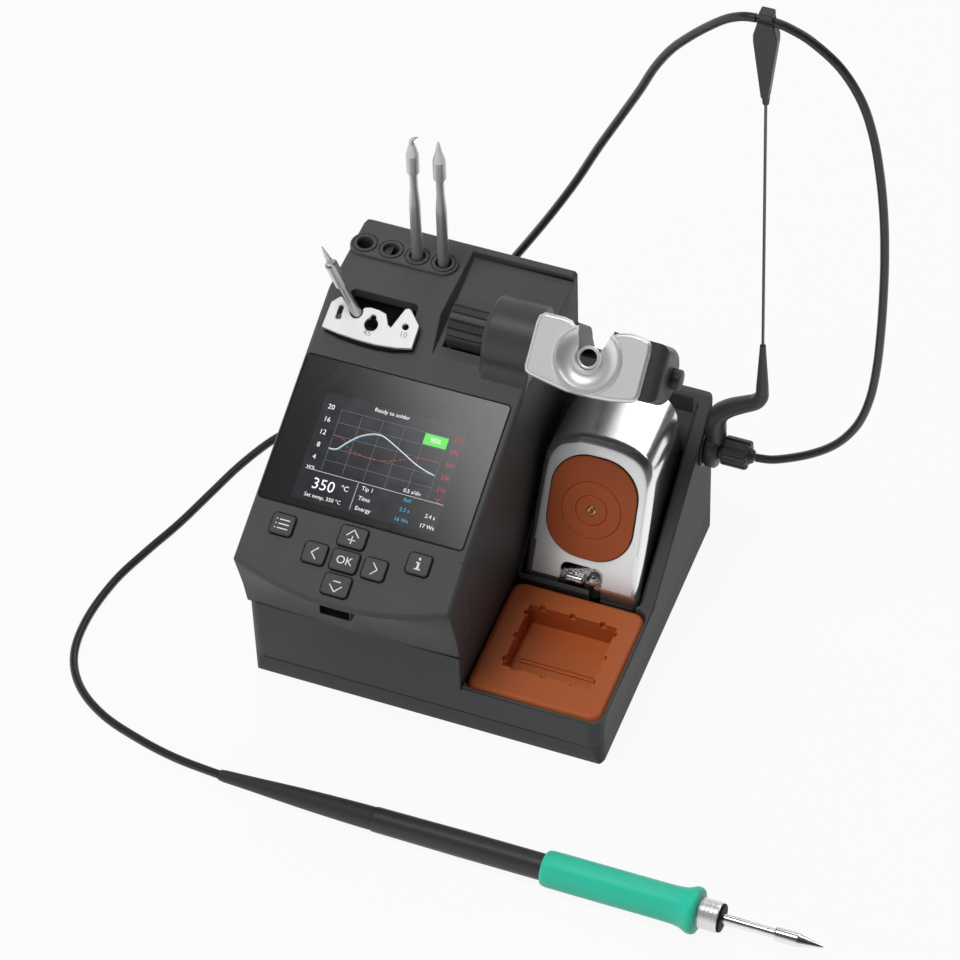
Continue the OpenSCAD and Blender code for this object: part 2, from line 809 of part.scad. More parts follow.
module cartridge_rack() {
    color([0.17, 0.17, 0.18]) station() difference() {
        union() {
            for (i = [0:3]) translate([rack_x0 + i * rack_pitch, rack_y, rack_bottom - 1.5])
                cylinder(d = rack_sleeve, h = rack_depth + 1.5 + 0.3);
            along_z(height - 6, height - 0.7) rack_outline(rack_sleeve / 2);
        }
        for (i = [0:3]) translate([rack_x0 + i * rack_pitch, rack_y, rack_bottom])
            cylinder(d = rack_bore, h = rack_depth + 1);
    }
}

// A soldering cartridge standing on its contact end, without its tip
module cartridge_shank() {
    r = cartridge_d / 2;
    neck = cartridge_l - 37;
    rotate_extrude() polygon([
        [0, 0], [r - 0.5, 0], [r - 0.5, 4], [r, 4.4], [r, neck], [r * 0.73, neck + 8], [r * 0.73, cartridge_l - 20],
        [r + 0.35, cartridge_l - 20], [r + 0.35, cartridge_l - 8.5], [r * 0.73, cartridge_l - 8.3],
        [r * 0.62, cartridge_l - 7], [0, cartridge_l - 7]
    ]);
}

module cartridge_cone(r, h) {
    rotate_extrude() polygon([[0, 0], [r, 0], [r, h * 0.25], [0.3, h], [0, h]]);
}

module cartridge_bent() {
    color(steel_color) station() translate([rack_x0 + 2 * rack_pitch, rack_y, rack_bottom + 0.05]) {
        cartridge_shank();
        translate([0, 0, cartridge_l - 7 - eps]) cylinder(r = 1.2, h = 2.5);
        translate([0, 0, cartridge_l - 5]) sphere(r = 1.2, $fn = 24);
        translate([0, 0, cartridge_l - 5]) rotate([0, -40, 0]) cartridge_cone(1.2, 6);
    }
}

module cartridge_straight() {
    color(steel_color) station() translate([rack_x0 + 3 * rack_pitch, rack_y, rack_bottom + 0.05]) {
        cartridge_shank();
        translate([0, 0, cartridge_l - 7 - eps]) cartridge_cone(1.2, 7);
    }
}

module cartridge_leaning() {
    color(steel_color) station() on_lean() {
        cartridge_shank();
        translate([0, 0, cartridge_l - 7 - eps]) cartridge_cone(1.2, 8);
    }
}

module power_transformer() {
    color([0.75, 0.6, 0.2]) station() translate([transformer_x, transformer_y, floor_z + 1.5])
        rotate_extrude() round_rect(11, 0, transformer_r, transformer_h, 8);
}

module transformer_clamp() {
    color(steel_color) station() translate([transformer_x, transformer_y, floor_z + 1.5]) {
        cylinder(r = 3, h = transformer_h + 7);
        translate([0, 0, transformer_h + 0.05]) rotate_extrude() polygon([
            [0, 0], [24, 0], [24, 1.2], [12, 2.4], [0, 2.4]
        ]);
        translate([0, 0, transformer_h + 2.4]) cylinder(r = 5.5, h = 3.5, $fn = 6);
    }
}

module main_board() {
    color([0.1, 0.35, 0.2]) station() translate([board_x0, board_y0, board_z]) {
        cube([board_w, board_l, 1.6]);
        for (i = [0:2]) translate([10 + i * 13, 10, 1.5]) cylinder(r = 5, h = 16);
        translate([46, 4, 1.5]) cube([14, 14, 2.5]);
        translate([6, 22, 1.5]) cube([20, 9, 11]);
        translate([34, 19, 1.5]) cube([12, 12, 3]);
    }
}

module heat_sink() {
    color([0.6, 0.6, 0.62]) station() translate([board_x0 + 48, board_y0 + 20, board_z + 1.6]) {
        cube([16, 12, 3]);
        for (i = [0:4]) translate([i * 3.6, 0, 2.9]) cube([1.6, 12, 14]);
    }
}

module mains_inlet() {
    color([0.08, 0.08, 0.08]) station() difference() {
        union() {
            along_y(depth - 18, depth + 0.1)
                round_rect(inlet_x - 14, rear_z - 17, inlet_x + 14, rear_z + 17, 2);
            along_y(depth, depth + 2)
                round_rect(inlet_x - 16, rear_z - 19, inlet_x + 16, rear_z + 19, 2);
        }
        along_y(depth - 15, depth + 3) round_rect(inlet_x - 12, rear_z - 4, inlet_x + 12, rear_z + 12.5, 3);
        along_y(depth - 15, depth + 3) translate([inlet_x - 10.2, rear_z - 14.2]) square([20.4, 7.4]);
    }
    color(steel_color) station() for (x = [-7, 0, 7])
        along_y(depth - 15.1, depth - 6)
            translate([inlet_x + x - 2, rear_z + (x == 0 ? 6.5 : 2)]) square([4, 2]);
}

module fuse_drawer() {
    color([0.1, 0.1, 0.1]) station() {
        along_y(depth - 14, depth + 2) translate([inlet_x - 10, rear_z - 14]) square([20, 7]);
        along_y(depth + 2 - eps, depth + 2.8) translate([inlet_x - 4, rear_z - 12]) square([8, 3]);
    }
}

module power_switch() {
    color([0.08, 0.08, 0.08]) station() difference() {
        union() {
            along_y(depth - 16, depth + 0.1)
                round_rect(switch_x - 9.5, rear_z - 6.5, switch_x + 9.5, rear_z + 6.5, 1);
            along_y(depth, depth + 1.8)
                round_rect(switch_x - 10.8, rear_z - 7.8, switch_x + 10.8, rear_z + 7.8, 1);
        }
        along_y(depth - 7, depth + 3) translate([switch_x - 8.2, rear_z - 5.2]) square([16.4, 10.4]);
        translate([switch_x, depth - 1, rear_z - 6.1]) cylinder(r = 1 + fit, h = 12.2);
    }
}

// The rocker turns about an upright axis through its middle
module power_rocker() {
    color([0.15, 0.15, 0.15]) station() translate([switch_x, depth - 1, 0]) {
        along_z(rear_z - 5, rear_z + 5)
            polygon([[-7.3, -0.6], [-7.4, 2.4], [0, 3], [7.2, 5.2], [7.6, 1.5], [3, -2.5], [-3, -2.5]]);
        translate([0, 0, rear_z - 6]) cylinder(r = 1, h = 12);
    }
}

module earth_socket() {
    color([0.1, 0.1, 0.1]) station() difference() {
        union() {
            along_y(depth - 20, depth + 0.1) translate([earth_x, rear_z]) circle(r = 3.95);
            along_y(depth, depth + 2.5) translate([earth_x, rear_z]) circle(r = 5.5);
        }
        along_y(depth - 16, depth + 3) translate([earth_x, rear_z]) circle(r = 2);
    }
}

module tool_socket() {
    color([0.35, 0.35, 0.36]) station() difference() {
        union() {
            rod_x(right - bay_side, right + 0.1, 6.95, socket_y, socket_z);
            rod_x(right, right + 1, socket_r, socket_y, socket_z);
        }
        rod_x(right - 3, right + 2, 5, socket_y, socket_z);
    }
}

module plug_body() {
    color([0.3, 0.3, 0.31]) station() {
        rod_x(right - 2.9, right + 9, 4.4, socket_y, socket_z);
        rod_x(right + 8, right + 19, 4.2, socket_y, socket_z);
        translate([right + 18.9, socket_y, socket_z]) rotate([0, 90, 0])
            rotate_extrude() polygon([[0, 0], [3.6, 0], [2.4, 2], [0, 2.1]]);
    }
}

module plug_nut() {
    color([0.3, 0.3, 0.31]) station() difference() {
        union() {
            rod_x(right + 8, right + 18.7, plug_nut_d / 2 - 0.4, socket_y, socket_z);
            for (a = [0:20:340])
                translate([right + 8.8, socket_y, socket_z]) rotate([a, 0, 0])
                    translate([0, plug_nut_d / 2 - 0.9, -0.45]) cube([9, 0.9, 0.9]);
        }
        rod_x(right + 7, right + 20, 4.4 + fit, socket_y, socket_z);
    }
}

// Strip arm: a ring round the plug's nose, then a bent strip up to the rod's sleeve
module collector_arm() {
    reach = rod_x - right;
    color([0.3, 0.3, 0.31]) station() {
        difference() {
            rod_x(right + 1.3, right + 6.5, 8.5, socket_y, socket_z);
            rod_x(right + 1, right + 7, 4.4 + fit, socket_y, socket_z);
        }
        along_y(socket_y - 4, socket_y + 4)
            polygon([
                [right + 2.5, socket_z + 8], [right + 6.5, socket_z + 8], [right + 6.5, socket_z + 17],
                [right + 13, socket_z + 26], [right + reach + 2.2, socket_z + 35.5],
                [right + reach + 2.2, socket_z + 40], [right + reach - 2.2, socket_z + 40],
                [right + 10, socket_z + 29.5], [right + 2.5, socket_z + 19]
            ]);
        on_rod() translate([0, 0, -0.1]) rotate_extrude() polygon([
            [rod_d / 2 + fit, 0], [2.4, 0], [2.2, 8], [1.1, 27.6], [rod_d / 2 + fit, 27.6]
        ]);
    }
}

// The rod's own line, from the arm upwards
module on_rod() { translate([rod_x, socket_y, rod_z]) rotate([0, -rod_lean, 0]) children(); }

module collector_rod() {
    color(steel_color) station() on_rod() cylinder(d = rod_d, h = rod_l);
}

module collector_clip() {
    color([0.12, 0.12, 0.12]) station() on_rod() difference() {
        union() {
            translate([0, 0, rod_l - 3]) cylinder(r1 = 1.3, r2 = 1.8, h = 6);
            along_y(-2.5, 2.5) polygon([
                [-1.4, rod_l + 1], [-4.65, rod_l + 29], [-4.65, rod_l + 32], [-3, clip_hole],
                [-2.7, clip_hole + 4.5], [2.7, clip_hole + 4.5], [3, clip_hole],
                [4.65, rod_l + 32], [4.65, rod_l + 29], [1.4, rod_l + 1]
            ]);
        }
        rod_x(-9, 9, cable_r + 0.4, 0, clip_hole);
        translate([0, 0, rod_l - 9]) cylinder(d = rod_d + 2 * fit, h = 9);
        along_y(-6, -cable_r - 0.2) translate([-7, clip_hole]) square([14, 10]);
    }
}

// Liner behind the tray: a tub with a slanted flank under the rim
module stand_insert() {
    x1 = right - bay_side - 0.1;
    color([0.2, 0.2, 0.21]) station() difference() {
        intersection() {
            along_z(bay_floor, height) round_rect(bay_x + 0.1, slope_y - 0.4, x1, bay_back - 0.1, 3);
            along_x(bay_x, right) polygon([
                [0, 0], [0, rim_z - 1], [slope_y, rim_z - 1], [bay_back, rim_top - 1], [depth, rim_top - 1],
                [depth, 0]
            ]);
        }
        along_z(bay_floor + 2, height)
            round_rect(bay_x + insert_t, slope_y + insert_t, guard_x1 + 0.5, guard_y1 + 0.5, 9);
        along_z(bay_floor + 2, height)
            translate([bay_x + insert_t, slope_y + insert_t])
                square([guard_x1 + 0.5 - bay_x - insert_t, 20]);
        translate([0, slope_y, rim_z]) rotate([rim_slope, 0, 0]) along_y(-20, 130)
            polygon([
                [guard_x1, -7], [guard_x1 + 0.4, -6], [x1 - 0.7, 0], [x1 - 0.7, 30], [guard_x1 - 20, 30],
                [guard_x1 - 20, -7]
            ]);
    }
}

// Outside of the tip guard, made smaller all round by t
module guard_form(t) {
    half = guard_w / 2 - t;
    radius = (half * half + guard_arch * guard_arch) / (2 * guard_arch);
    mid = guard_x0 + guard_w / 2;
    intersection() {
        along_y(0, depth) intersection() {
            translate([mid - half, guard_foot - 1]) square([2 * half, guard_z]);
            union() {
                translate([mid, guard_z - t - radius]) circle(r = radius, $fn = 96);
                translate([mid - half, 0]) square([2 * half, guard_z - t - guard_arch]);
            }
        }
        along_z(guard_foot - (t > 0 ? 2 : 0), guard_z + 1)
            round_rect(guard_x0 + t, -40, guard_x1 - t, guard_y1 - t, 12 - t);
        along_x(0, right) polygon([
            [guard_y0 + t, 0], [guard_y0 + t, face_z],
            [guard_y0 + t + (guard_z + 1 - face_z) / tan(guard_slope), guard_z + 1],
            [depth, guard_z + 1], [depth, 0]
        ]);
    }
}

// The guard's face: x from its middle, y up the face, z out of it
module on_face() {
    translate([guard_x0 + guard_w / 2, guard_y0, face_z]) rotate([guard_slope, 0, 0]) children();
}

module membrane_outline(grow) {
    half = cup_r + 0.15 + grow;
    round_rect(-half, hole_y - 22 - grow, half, hole_y + 22.5 + grow, half - 3);
}

module tip_guard() {
    color([0.8, 0.8, 0.82]) station() difference() {
        guard_form(0);
        guard_form(guard_t);
        on_face() along_z(-8, 5) membrane_outline(-1.5);
        on_face() along_z(-8, 5) round_rect(-9, -4, 9, 9, 1);
    }
}

module membrane() {
    color(orange_color) station() difference() {
        union() {
            on_face() along_z(0.05, 1.2) membrane_outline(0);
            on_face() along_z(-2.5, 0.1) membrane_outline(-1.7);
        }
        on_face() translate([0, hole_y, 0.7]) cylinder(r = cup_r - 5.5, h = 3);
        on_face() translate([0, hole_y, -5]) cylinder(r = 1, h = 9);
        on_face() translate([0, hole_y, -3]) cylinder(r = 6.5, h = 3);
    }
}

module wool_cup() {
    back = -cup_front - cup_l;
    color([0.25, 0.25, 0.26]) station() on_face() translate([0, hole_y, 0]) difference() {
        translate([0, 0, back]) cylinder(r = cup_r, h = cup_l);
        translate([0, 0, back + cup_t]) cylinder(r = cup_r - cup_t, h = cup_l);
    }
    color([0.25, 0.25, 0.26]) station() difference() {
        translate([guard_x0 + guard_w / 2 - 12, guard_y0 + 15, bay_floor + 2]) cube([24, guard_l / 2, 22]);
        on_face() translate([0, hole_y, back - eps]) cylinder(r = cup_r, h = 2 * cup_l);
    }
}

module brass_wool() {
    r = cup_r - cup_t - gap;
    l = cup_l - cup_t - 1;
    color([0.75, 0.55, 0.2]) station() on_face() translate([0, hole_y, -cup_front - cup_l + cup_t + 0.2])
        rotate_extrude() polygon([[0, 0], [r - 1.5, 0], [r, 3], [r, l - 6], [r - 3.5, l - 1], [0, l]]);
}

module wiper_bar() {
    color([0.3, 0.3, 0.3]) station() on_face() {
        along_z(-2, -0.6) round_rect(-8.8, -0.5, 8.8, 8.8, 0.8);
        translate([-7.4, 4, 0.6]) rotate([0, 90, 0]) cylinder(r = 1.6, h = 7);
    }
}

module wiper_screw() {
    color(steel_color) station() on_face() translate([2.5, 6, -0.55]) {
        cylinder(r = 2.2, h = 1.3);
    }
}

module silicone_tray() {
    color(orange_color) station() difference() {
        along_z(bay_floor + 0.2, bay_floor + 0.2 + tray_h)
            round_rect(bay_x + gap, tray_y0, right - bay_wall - gap, tray_y1, 5);
        along_z(bay_floor + 0.2 + tray_h - tray_recess, rim_z + 5)
            round_rect(bay_x + 11, tray_y0 + 15, right - 11, tray_y1 - 11, 3);
    }
}

module ground_cut() {
    polygon([
        [deck_y0 - 30, panel_at(deck_y0 - 30)], [deck_y0, deck_z0], [deck_y1, deck_z1], [deck_y1, 60],
        [deck_y0 - 30, 60]
    ]);
}

// The fixed arm that carries the tilt shaft
module holder_bracket() {
    color(shell_color) station() difference() {
        union() {
            along_x(bracket_x0, bracket_x1) difference() {
                union() {
                    translate([axis_y, axis_z]) circle(r = bracket_r);
                    polygon([
                        [deck_y0 - 3.2, deck_z0 - 6], [deck_y0 - 4, deck_z0 + 7.4], [deck_y0 - 1, deck_z0 + 9],
                        [axis_y, axis_z + 6], [axis_y, deck_z0 - 6]
                    ]);
                }
                ground_cut();
            }
            intersection() {
                bracket_foot(0);
                along_x(bracket_x0, bracket_x1) square([depth, height]);
            }
        }
        rod_x(bracket_x0 - 1, bracket_x1 + 1, shaft_d / 2 + fit, axis_y, axis_z);
    }
}

module holder_shaft() {
    color(steel_color) station() rod_x(bracket_x0 - knob_l + 1, head_x0 + 12, shaft_d / 2, axis_y, axis_z);
}

module holder_knob() {
    color([0.15, 0.15, 0.16]) station() difference() {
        union() {
            rod_x(bracket_x0 - 0.3 - knob_l, bracket_x0 - 0.3, knob_r - 0.6, axis_y, axis_z);
            for (a = [0:15:345])
                translate([bracket_x0 - 0.3 - knob_l + 1, axis_y, axis_z]) rotate([a, 0, 0])
                    translate([0, knob_r - 1.4, -0.6]) cube([knob_l - 2, 1.4, 1.2]);
        }
        rod_x(bracket_x0 - knob_l + 0.5, bracket_x0, shaft_d / 2 + fit, axis_y, axis_z);
    }
}

// Slot and bore through which the tool is laid into the holder
module tool_slot() {
    translate([bore_x, bore_u, -30]) cylinder(d = tool_bore, h = 60);
    translate([bore_x, 0, -30]) linear_extrude(60)
        polygon([[-tool_bore / 2 + 0.4, bore_u], [tool_bore / 2 - 0.4, bore_u], [5, 6], [7.4, 20], [-7.6, 20],
            [-5.4, 6]]);
}

module holder_head() {
    color(shell_color) station() difference() {
        union() {
            on_holder() along_x(head_x0, head_x1) {
                circle(r = head_r);
                translate([-head_r, 0]) square([2 * head_r, head_front - plate_t]);
            }
            rod_x(head_x1 - 1, head_x1 + 2.5, head_r - 2.2, axis_y, axis_z);
        }
        on_holder() tool_slot();
        rod_x(head_x0 - 1, head_x0 + 12, shaft_d / 2, axis_y, axis_z);
    }
}

module holder_plate() {
    w = head_l - 8;
    color(steel_color) station() difference() {
        on_holder() {
            along_z(head_front - plate_t, head_front) polygon([
                [head_x0 - 0.2, -head_r], [head_x0 + 1.2, head_r - 0.2], [head_x0 + w - 0.7, head_r - 0.2],
                [head_x0 + w, -head_r], [head_x0 + w * 0.85, -head_r - 2.6], [head_x0 + w * 0.7, -head_r - 3.8],
                [head_x0 + w * 0.57, -head_r - 4.2], [head_x0 + w * 0.42, -head_r - 3.8],
                [head_x0 + w * 0.2, -head_r - 2.4]
            ]);
            translate([bore_x, bore_u - 1.2, head_front - eps]) difference() {
                cylinder(r1 = 13.4, r2 = 12.6, h = 0.9);
                translate([-20, 12.4, -1]) cube([40, 10, 3]);
            }
        }
        on_holder() tool_slot();
        on_holder() translate([bore_x, bore_u, head_front - plate_t]) cylinder(r1 = 5, r2 = 9.6, h = 2.5);
    }
}

module handle_relief() {
    color([0.12, 0.12, 0.12]) station() on_handle() translate([0, 0, -relief_l])
        rotate_extrude() polygon([
            [0, 0], [2.2, 0], [2.6, 1.5], [4.1, relief_l * 0.55], [4.6, relief_l * 0.8], [4.8, relief_l], [0, relief_l]
        ]);
}

module handle_body() {
    r = body_d / 2;
    color([0.13, 0.13, 0.14]) station() on_handle() difference() {
        rotate_extrude() polygon([
            [0, 0], [r - 0.5, 0], [r - 0.2, 1], [r + 0.2, body_l - 1], [r, body_l], [r - 1, body_l],
            [r - 1, grip_x1], [0, grip_x1]
        ]);
        translate([0, 0, grip_x1 + tip_out - cartridge_l - 0.5]) cylinder(d = cartridge_d + 2 * fit, h = cartridge_l);
    }
}

module handle_grip() {
    r = grip_d / 2;
    color([0.2, 0.72, 0.6]) station() on_handle() difference() {
        rotate_extrude() translate([0, body_l]) polygon([
            [0, 0.05], [r - 1.4, 0.05], [r - 0.4, 2], [r, 6], [r, grip_l * 0.6], [r - 0.6, grip_l * 0.78],
            [r + 0.4, grip_l - 5], [flange_d / 2 - 0.6, grip_l - 2.4], [flange_d / 2, grip_l - 1.6],
            [flange_d / 2 - 0.5, grip_l], [0, grip_l]
        ]);
        translate([0, 0, body_l - 1]) cylinder(r = body_d / 2 - 1 + fit, h = grip_l + 2);
    }
}

module handle_nut() {
    r = nut_d / 2;
    color(steel_color) station() on_handle() difference() {
        translate([0, 0, grip_x1 + 0.2]) rotate_extrude() polygon([
            [0, 0], [r, 0], [r, 2], [r - 0.5, 2.4], [r - 0.5, 3.2], [r, 3.6], [r, 5], [r - 0.5, 5.4], [r - 0.5, 6.2],
            [r, 6.6], [r - 0.4, 8.4], [r - 1.4, 9.4], [0, 9.4]
        ]);
        translate([0, 0, grip_x1]) cylinder(d = cartridge_d + 2 * fit, h = 12);
    }
}

module handle_cartridge() {
    color(steel_color) station() on_handle() translate([0, 0, grip_x1 + tip_out - cartridge_l]) {
        cartridge_shank();
        translate([0, 0, cartridge_l - 7 - eps]) cartridge_cone(1.2, 7);
    }
}

// A tube of eight sides through a list of points, closed at both ends
function unit(v) = v / norm(v);
function spline(p, i, t) =
    let (a = p[max(i - 1, 0)], b = p[i], c = p[i + 1], d = p[min(i + 2, len(p) - 1)])
    0.5 * (2 * b + (c - a) * t + (2 * a - 5 * b + 4 * c - d) * t * t + (3 * b - a - 3 * c + d) * t * t * t);
function finer(p, n) = [
    for (i = [0:len(p) - 2], k = [0:n - 1]) spline(p, i, k / n),
    p[len(p) - 1]
];
function heading(p, i) = unit(p[min(i + 1, len(p) - 1)] - p[max(i - 1, 0)]);
function ring(centre, dir, r, n) =
    let (side = unit(cross(dir, [0.05, 1, 0.02])), up = cross(side, dir))
    [for (k = [0:n - 1]) centre + r * (side * cos(360 * k / n) + up * sin(360 * k / n))];

module tube(p, r, n) {
    rings = [for (i = [0:len(p) - 1]) each ring(p[i], heading(p, i), r, n)];
    sides = [
        for (i = [0:len(p) - 2], k = [0:n - 1])
            [i * n + k, i * n + (k + 1) % n, (i + 1) * n + (k + 1) % n, (i + 1) * n + k]
    ];
    ends = [
        [for (k = [n - 1:-1:0]) k],
        [for (k = [0:n - 1]) (len(p) - 1) * n + k]
    ];
    polyhedron(rings, concat(sides, ends), convexity = 10);
}

module cable_plug_side() { color([0.05, 0.05, 0.05]) station() tube(finer(plug_route, 2), cable_r, 8); }
module cable_handle_side() { color([0.05, 0.05, 0.05]) station() tube(handle_route, cable_r, 8); }

base_tray();
rubber_feet();
base_screws();
console_walls();
console_face();
console_top();
stand_bay();
display_window();
display_panel();
keypad_board();
key_menu();
key_up();
key_left();
key_ok();
key_right();
key_down();
key_info();
usb_port();
extractor_plate();
extractor_base();
extractor_pocket();
cartridge_rack();
cartridge_bent();
cartridge_straight();
cartridge_leaning();
power_transformer();
transformer_clamp();
main_board();
heat_sink();
mains_inlet();
fuse_drawer();
power_switch();
power_rocker();
earth_socket();
tool_socket();
plug_body();
plug_nut();
collector_arm();
collector_rod();
collector_clip();
stand_insert();
tip_guard();
membrane();
wool_cup();
brass_wool();
wiper_bar();
wiper_screw();
silicone_tray();
holder_bracket();
holder_shaft();
holder_knob();
holder_head();
holder_plate();
handle_relief();
handle_body();
handle_grip();
handle_nut();
handle_cartridge();
cable_plug_side();
cable_handle_side();
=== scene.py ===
import json
import math

import bmesh
import bpy
from mathutils import Matrix, Vector

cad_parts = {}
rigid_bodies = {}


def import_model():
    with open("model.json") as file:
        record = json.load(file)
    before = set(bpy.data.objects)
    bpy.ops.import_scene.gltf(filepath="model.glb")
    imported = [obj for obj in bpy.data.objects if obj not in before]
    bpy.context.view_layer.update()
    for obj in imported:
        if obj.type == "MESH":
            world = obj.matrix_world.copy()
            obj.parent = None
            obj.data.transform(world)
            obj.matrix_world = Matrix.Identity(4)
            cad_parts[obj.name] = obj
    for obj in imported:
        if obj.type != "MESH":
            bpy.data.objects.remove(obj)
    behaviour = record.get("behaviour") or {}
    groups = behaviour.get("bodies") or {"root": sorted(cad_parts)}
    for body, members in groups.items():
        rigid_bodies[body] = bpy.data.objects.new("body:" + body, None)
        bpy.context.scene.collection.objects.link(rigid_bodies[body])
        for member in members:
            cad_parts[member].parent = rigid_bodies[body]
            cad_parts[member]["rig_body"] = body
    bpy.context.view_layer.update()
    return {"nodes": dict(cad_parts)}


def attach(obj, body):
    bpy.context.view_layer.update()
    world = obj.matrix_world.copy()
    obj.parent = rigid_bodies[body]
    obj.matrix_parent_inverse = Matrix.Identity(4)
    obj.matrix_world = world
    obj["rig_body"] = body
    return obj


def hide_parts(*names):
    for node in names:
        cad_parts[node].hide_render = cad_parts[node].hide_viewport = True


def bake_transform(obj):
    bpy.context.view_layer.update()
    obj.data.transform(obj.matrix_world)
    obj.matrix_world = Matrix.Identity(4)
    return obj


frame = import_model()
nodes = frame["nodes"]
scene = bpy.context.scene
scene.view_settings.view_transform = "Standard"

# Main measures of the station in millimetres: x from mid width, y from the front face, z from the table
station = {
    "left": -75, "right": 75, "depth": 138, "footX": 62, "footY": -27,
    "lipY": -10.5, "lipZ": 82, "panelTilt": 24,
    "axisY": 96.44, "axisZ": 128, "holderLean": 40,
    "socketY": 125, "socketZ": 60.5,
    "guardX": 42.8, "guardY": 63.5, "guardZ": 26, "guardLean": 65.5,
    "handleY": -58, "handleZ": 5.1, "handleYaw": -1.1, "handleDip": -2, "rodX": 98.2, "rodZ": 100.5, "rodLean": -0.85,
}
mm = 0.001


def turned(degrees, axis):
    return Matrix.Rotation(math.radians(degrees), 4, axis)


def shifted(x, y, z):
    return Matrix.Translation((x, y, z))


def spot(x, y, z):
    # a point of the station, in the part's own frame in metres
    return Vector(((x + station["footX"]) * mm, (y + station["footY"]) * mm, z * mm))


def addObject(name, data):
    made = bpy.data.objects.new(name, data)
    scene.collection.objects.link(made)
    return made


def finalMesh(made):
    # the mesh of an object with its modifiers applied
    bpy.context.view_layer.update()
    return bpy.data.meshes.new_from_object(made.evaluated_get(bpy.context.evaluated_depsgraph_get()))


stationFrame = Matrix.Scale(mm, 4) @ shifted(station["footX"], station["footY"], 0)
panelFrame = stationFrame @ shifted(0, station["lipY"], station["lipZ"]) @ turned(station["panelTilt"], "X")
holderFrame = stationFrame @ shifted(0, station["axisY"], station["axisZ"]) @ turned(station["holderLean"], "X")
axisFrame = stationFrame @ shifted(0, station["axisY"], station["axisZ"]) @ turned(90, "Y")
socketFrame = stationFrame @ shifted(0, station["socketY"], station["socketZ"]) @ turned(90, "Y")
guardCorner = Vector((station["guardX"], station["guardY"], station["guardZ"]))
faceFromStation = shifted(*guardCorner) @ turned(station["guardLean"], "X")
faceFrame = stationFrame @ faceFromStation
handleFrame = (stationFrame @ shifted(0, station["handleY"], station["handleZ"]) @ turned(station["handleYaw"], "Z")
        @ turned(station["handleDip"], "Y") @ turned(90, "Y"))
rodFrame = stationFrame @ shifted(station["rodX"], station["socketY"], station["rodZ"]) @ turned(station["rodLean"], "Y")

# The camera looks down at the front from the right
view = {"azimuth": 0.3893, "elevation": 0.8546, "roll": -0.0382, "distance": 1.841,
        "aim": (-11.34, 93.28, 40), "lens": 168.75}
az, el, roll = view["azimuth"], view["elevation"], view["roll"]
forward = Vector((-math.sin(az) * math.cos(el), math.cos(az) * math.cos(el), -math.sin(el)))
acrossFlat = Vector((math.cos(az), math.sin(az), 0))
upFlat = acrossFlat.cross(forward)
across = acrossFlat * math.cos(roll) + upFlat * math.sin(roll)
upward = upFlat * math.cos(roll) - acrossFlat * math.sin(roll)
eye = spot(*view["aim"]) - forward * view["distance"]
cameraData = bpy.data.cameras.new("camera")
cameraData.sensor_width = 36
cameraData.lens = view["lens"]
cameraData.clip_end = 20
camera = addObject("camera", cameraData)
camera.matrix_world = Matrix((
    (across.x, upward.x, -forward.x, eye.x),
    (across.y, upward.y, -forward.y, eye.y),
    (across.z, upward.z, -forward.z, eye.z),
    (0, 0, 0, 1),
))
scene.camera = camera
print("camera placed")


def setInputs(node, values):
    for socket, value in values.items():
        node.inputs[socket].default_value = value


def addNode(tree, kind, values=None, **settings):
    node = tree.nodes.new("ShaderNode" + kind)
    for key, value in settings.items():
        setattr(node, key, value)
    setInputs(node, values or {})
    return node


def wire(tree, *links):
    for start, out, end, into in links:
        tree.links.new(start.outputs[out], end.inputs[into])


def makeFinish(name, colour, rough, metallic=0, vary=0.06, roughVary=0.05, grain=1600, bump=0.02, stretch=(1, 1, 1),
        coat=0, sheen=0, specular=0.5, glow=0, scatter=0):
    # cloudy colour, fine grain in roughness and relief
    material = bpy.data.materials.new(name)
    material.use_nodes = True
    tree = material.node_tree
    shader = tree.nodes["Principled BSDF"]
    where = addNode(tree, "TexCoord")
    spread = addNode(tree, "Mapping", {"Scale": stretch})
    cloud = addNode(tree, "TexNoise", {"Scale": 35, "Detail": 4})
    fine = addNode(tree, "TexNoise", {"Scale": grain, "Detail": 3})
    tint = addNode(tree, "Mix", {"A": (*[max(0, c * (1 - vary)) for c in colour], 1),
            "B": (*[min(1, c * (1 + vary)) for c in colour], 1)}, data_type="RGBA")
    dull = addNode(tree, "MapRange", {"To Min": max(0.02, rough - roughVary), "To Max": min(1, rough + roughVary)})
    relief = addNode(tree, "Bump", {"Strength": 0.6, "Distance": bump * mm})
    wire(tree, (where, "Object", spread, "Vector"), (where, "Object", cloud, "Vector"), (spread, "Vector", fine, "Vector"),
         (cloud, "Fac", tint, "Factor"), (fine, "Fac", dull, "Value"), (fine, "Fac", relief, "Height"),
         (tint, "Result", shader, "Base Color"), (dull, "Result", shader, "Roughness"))
    if bump:
        wire(tree, (relief, "Normal", shader, "Normal"))
    setInputs(shader, {"Metallic": metallic, "Specular IOR Level": specular, "Coat Weight": coat,
            "Coat Roughness": 0.06, "Sheen Weight": sheen})
    if scatter:
        setInputs(shader, {"Subsurface Weight": scatter, "Subsurface Scale": 0.002})
    if glow:
        wire(tree, (tint, "Result", shader, "Emission Color"))
        setInputs(shader, {"Emission Strength": glow})
    return material


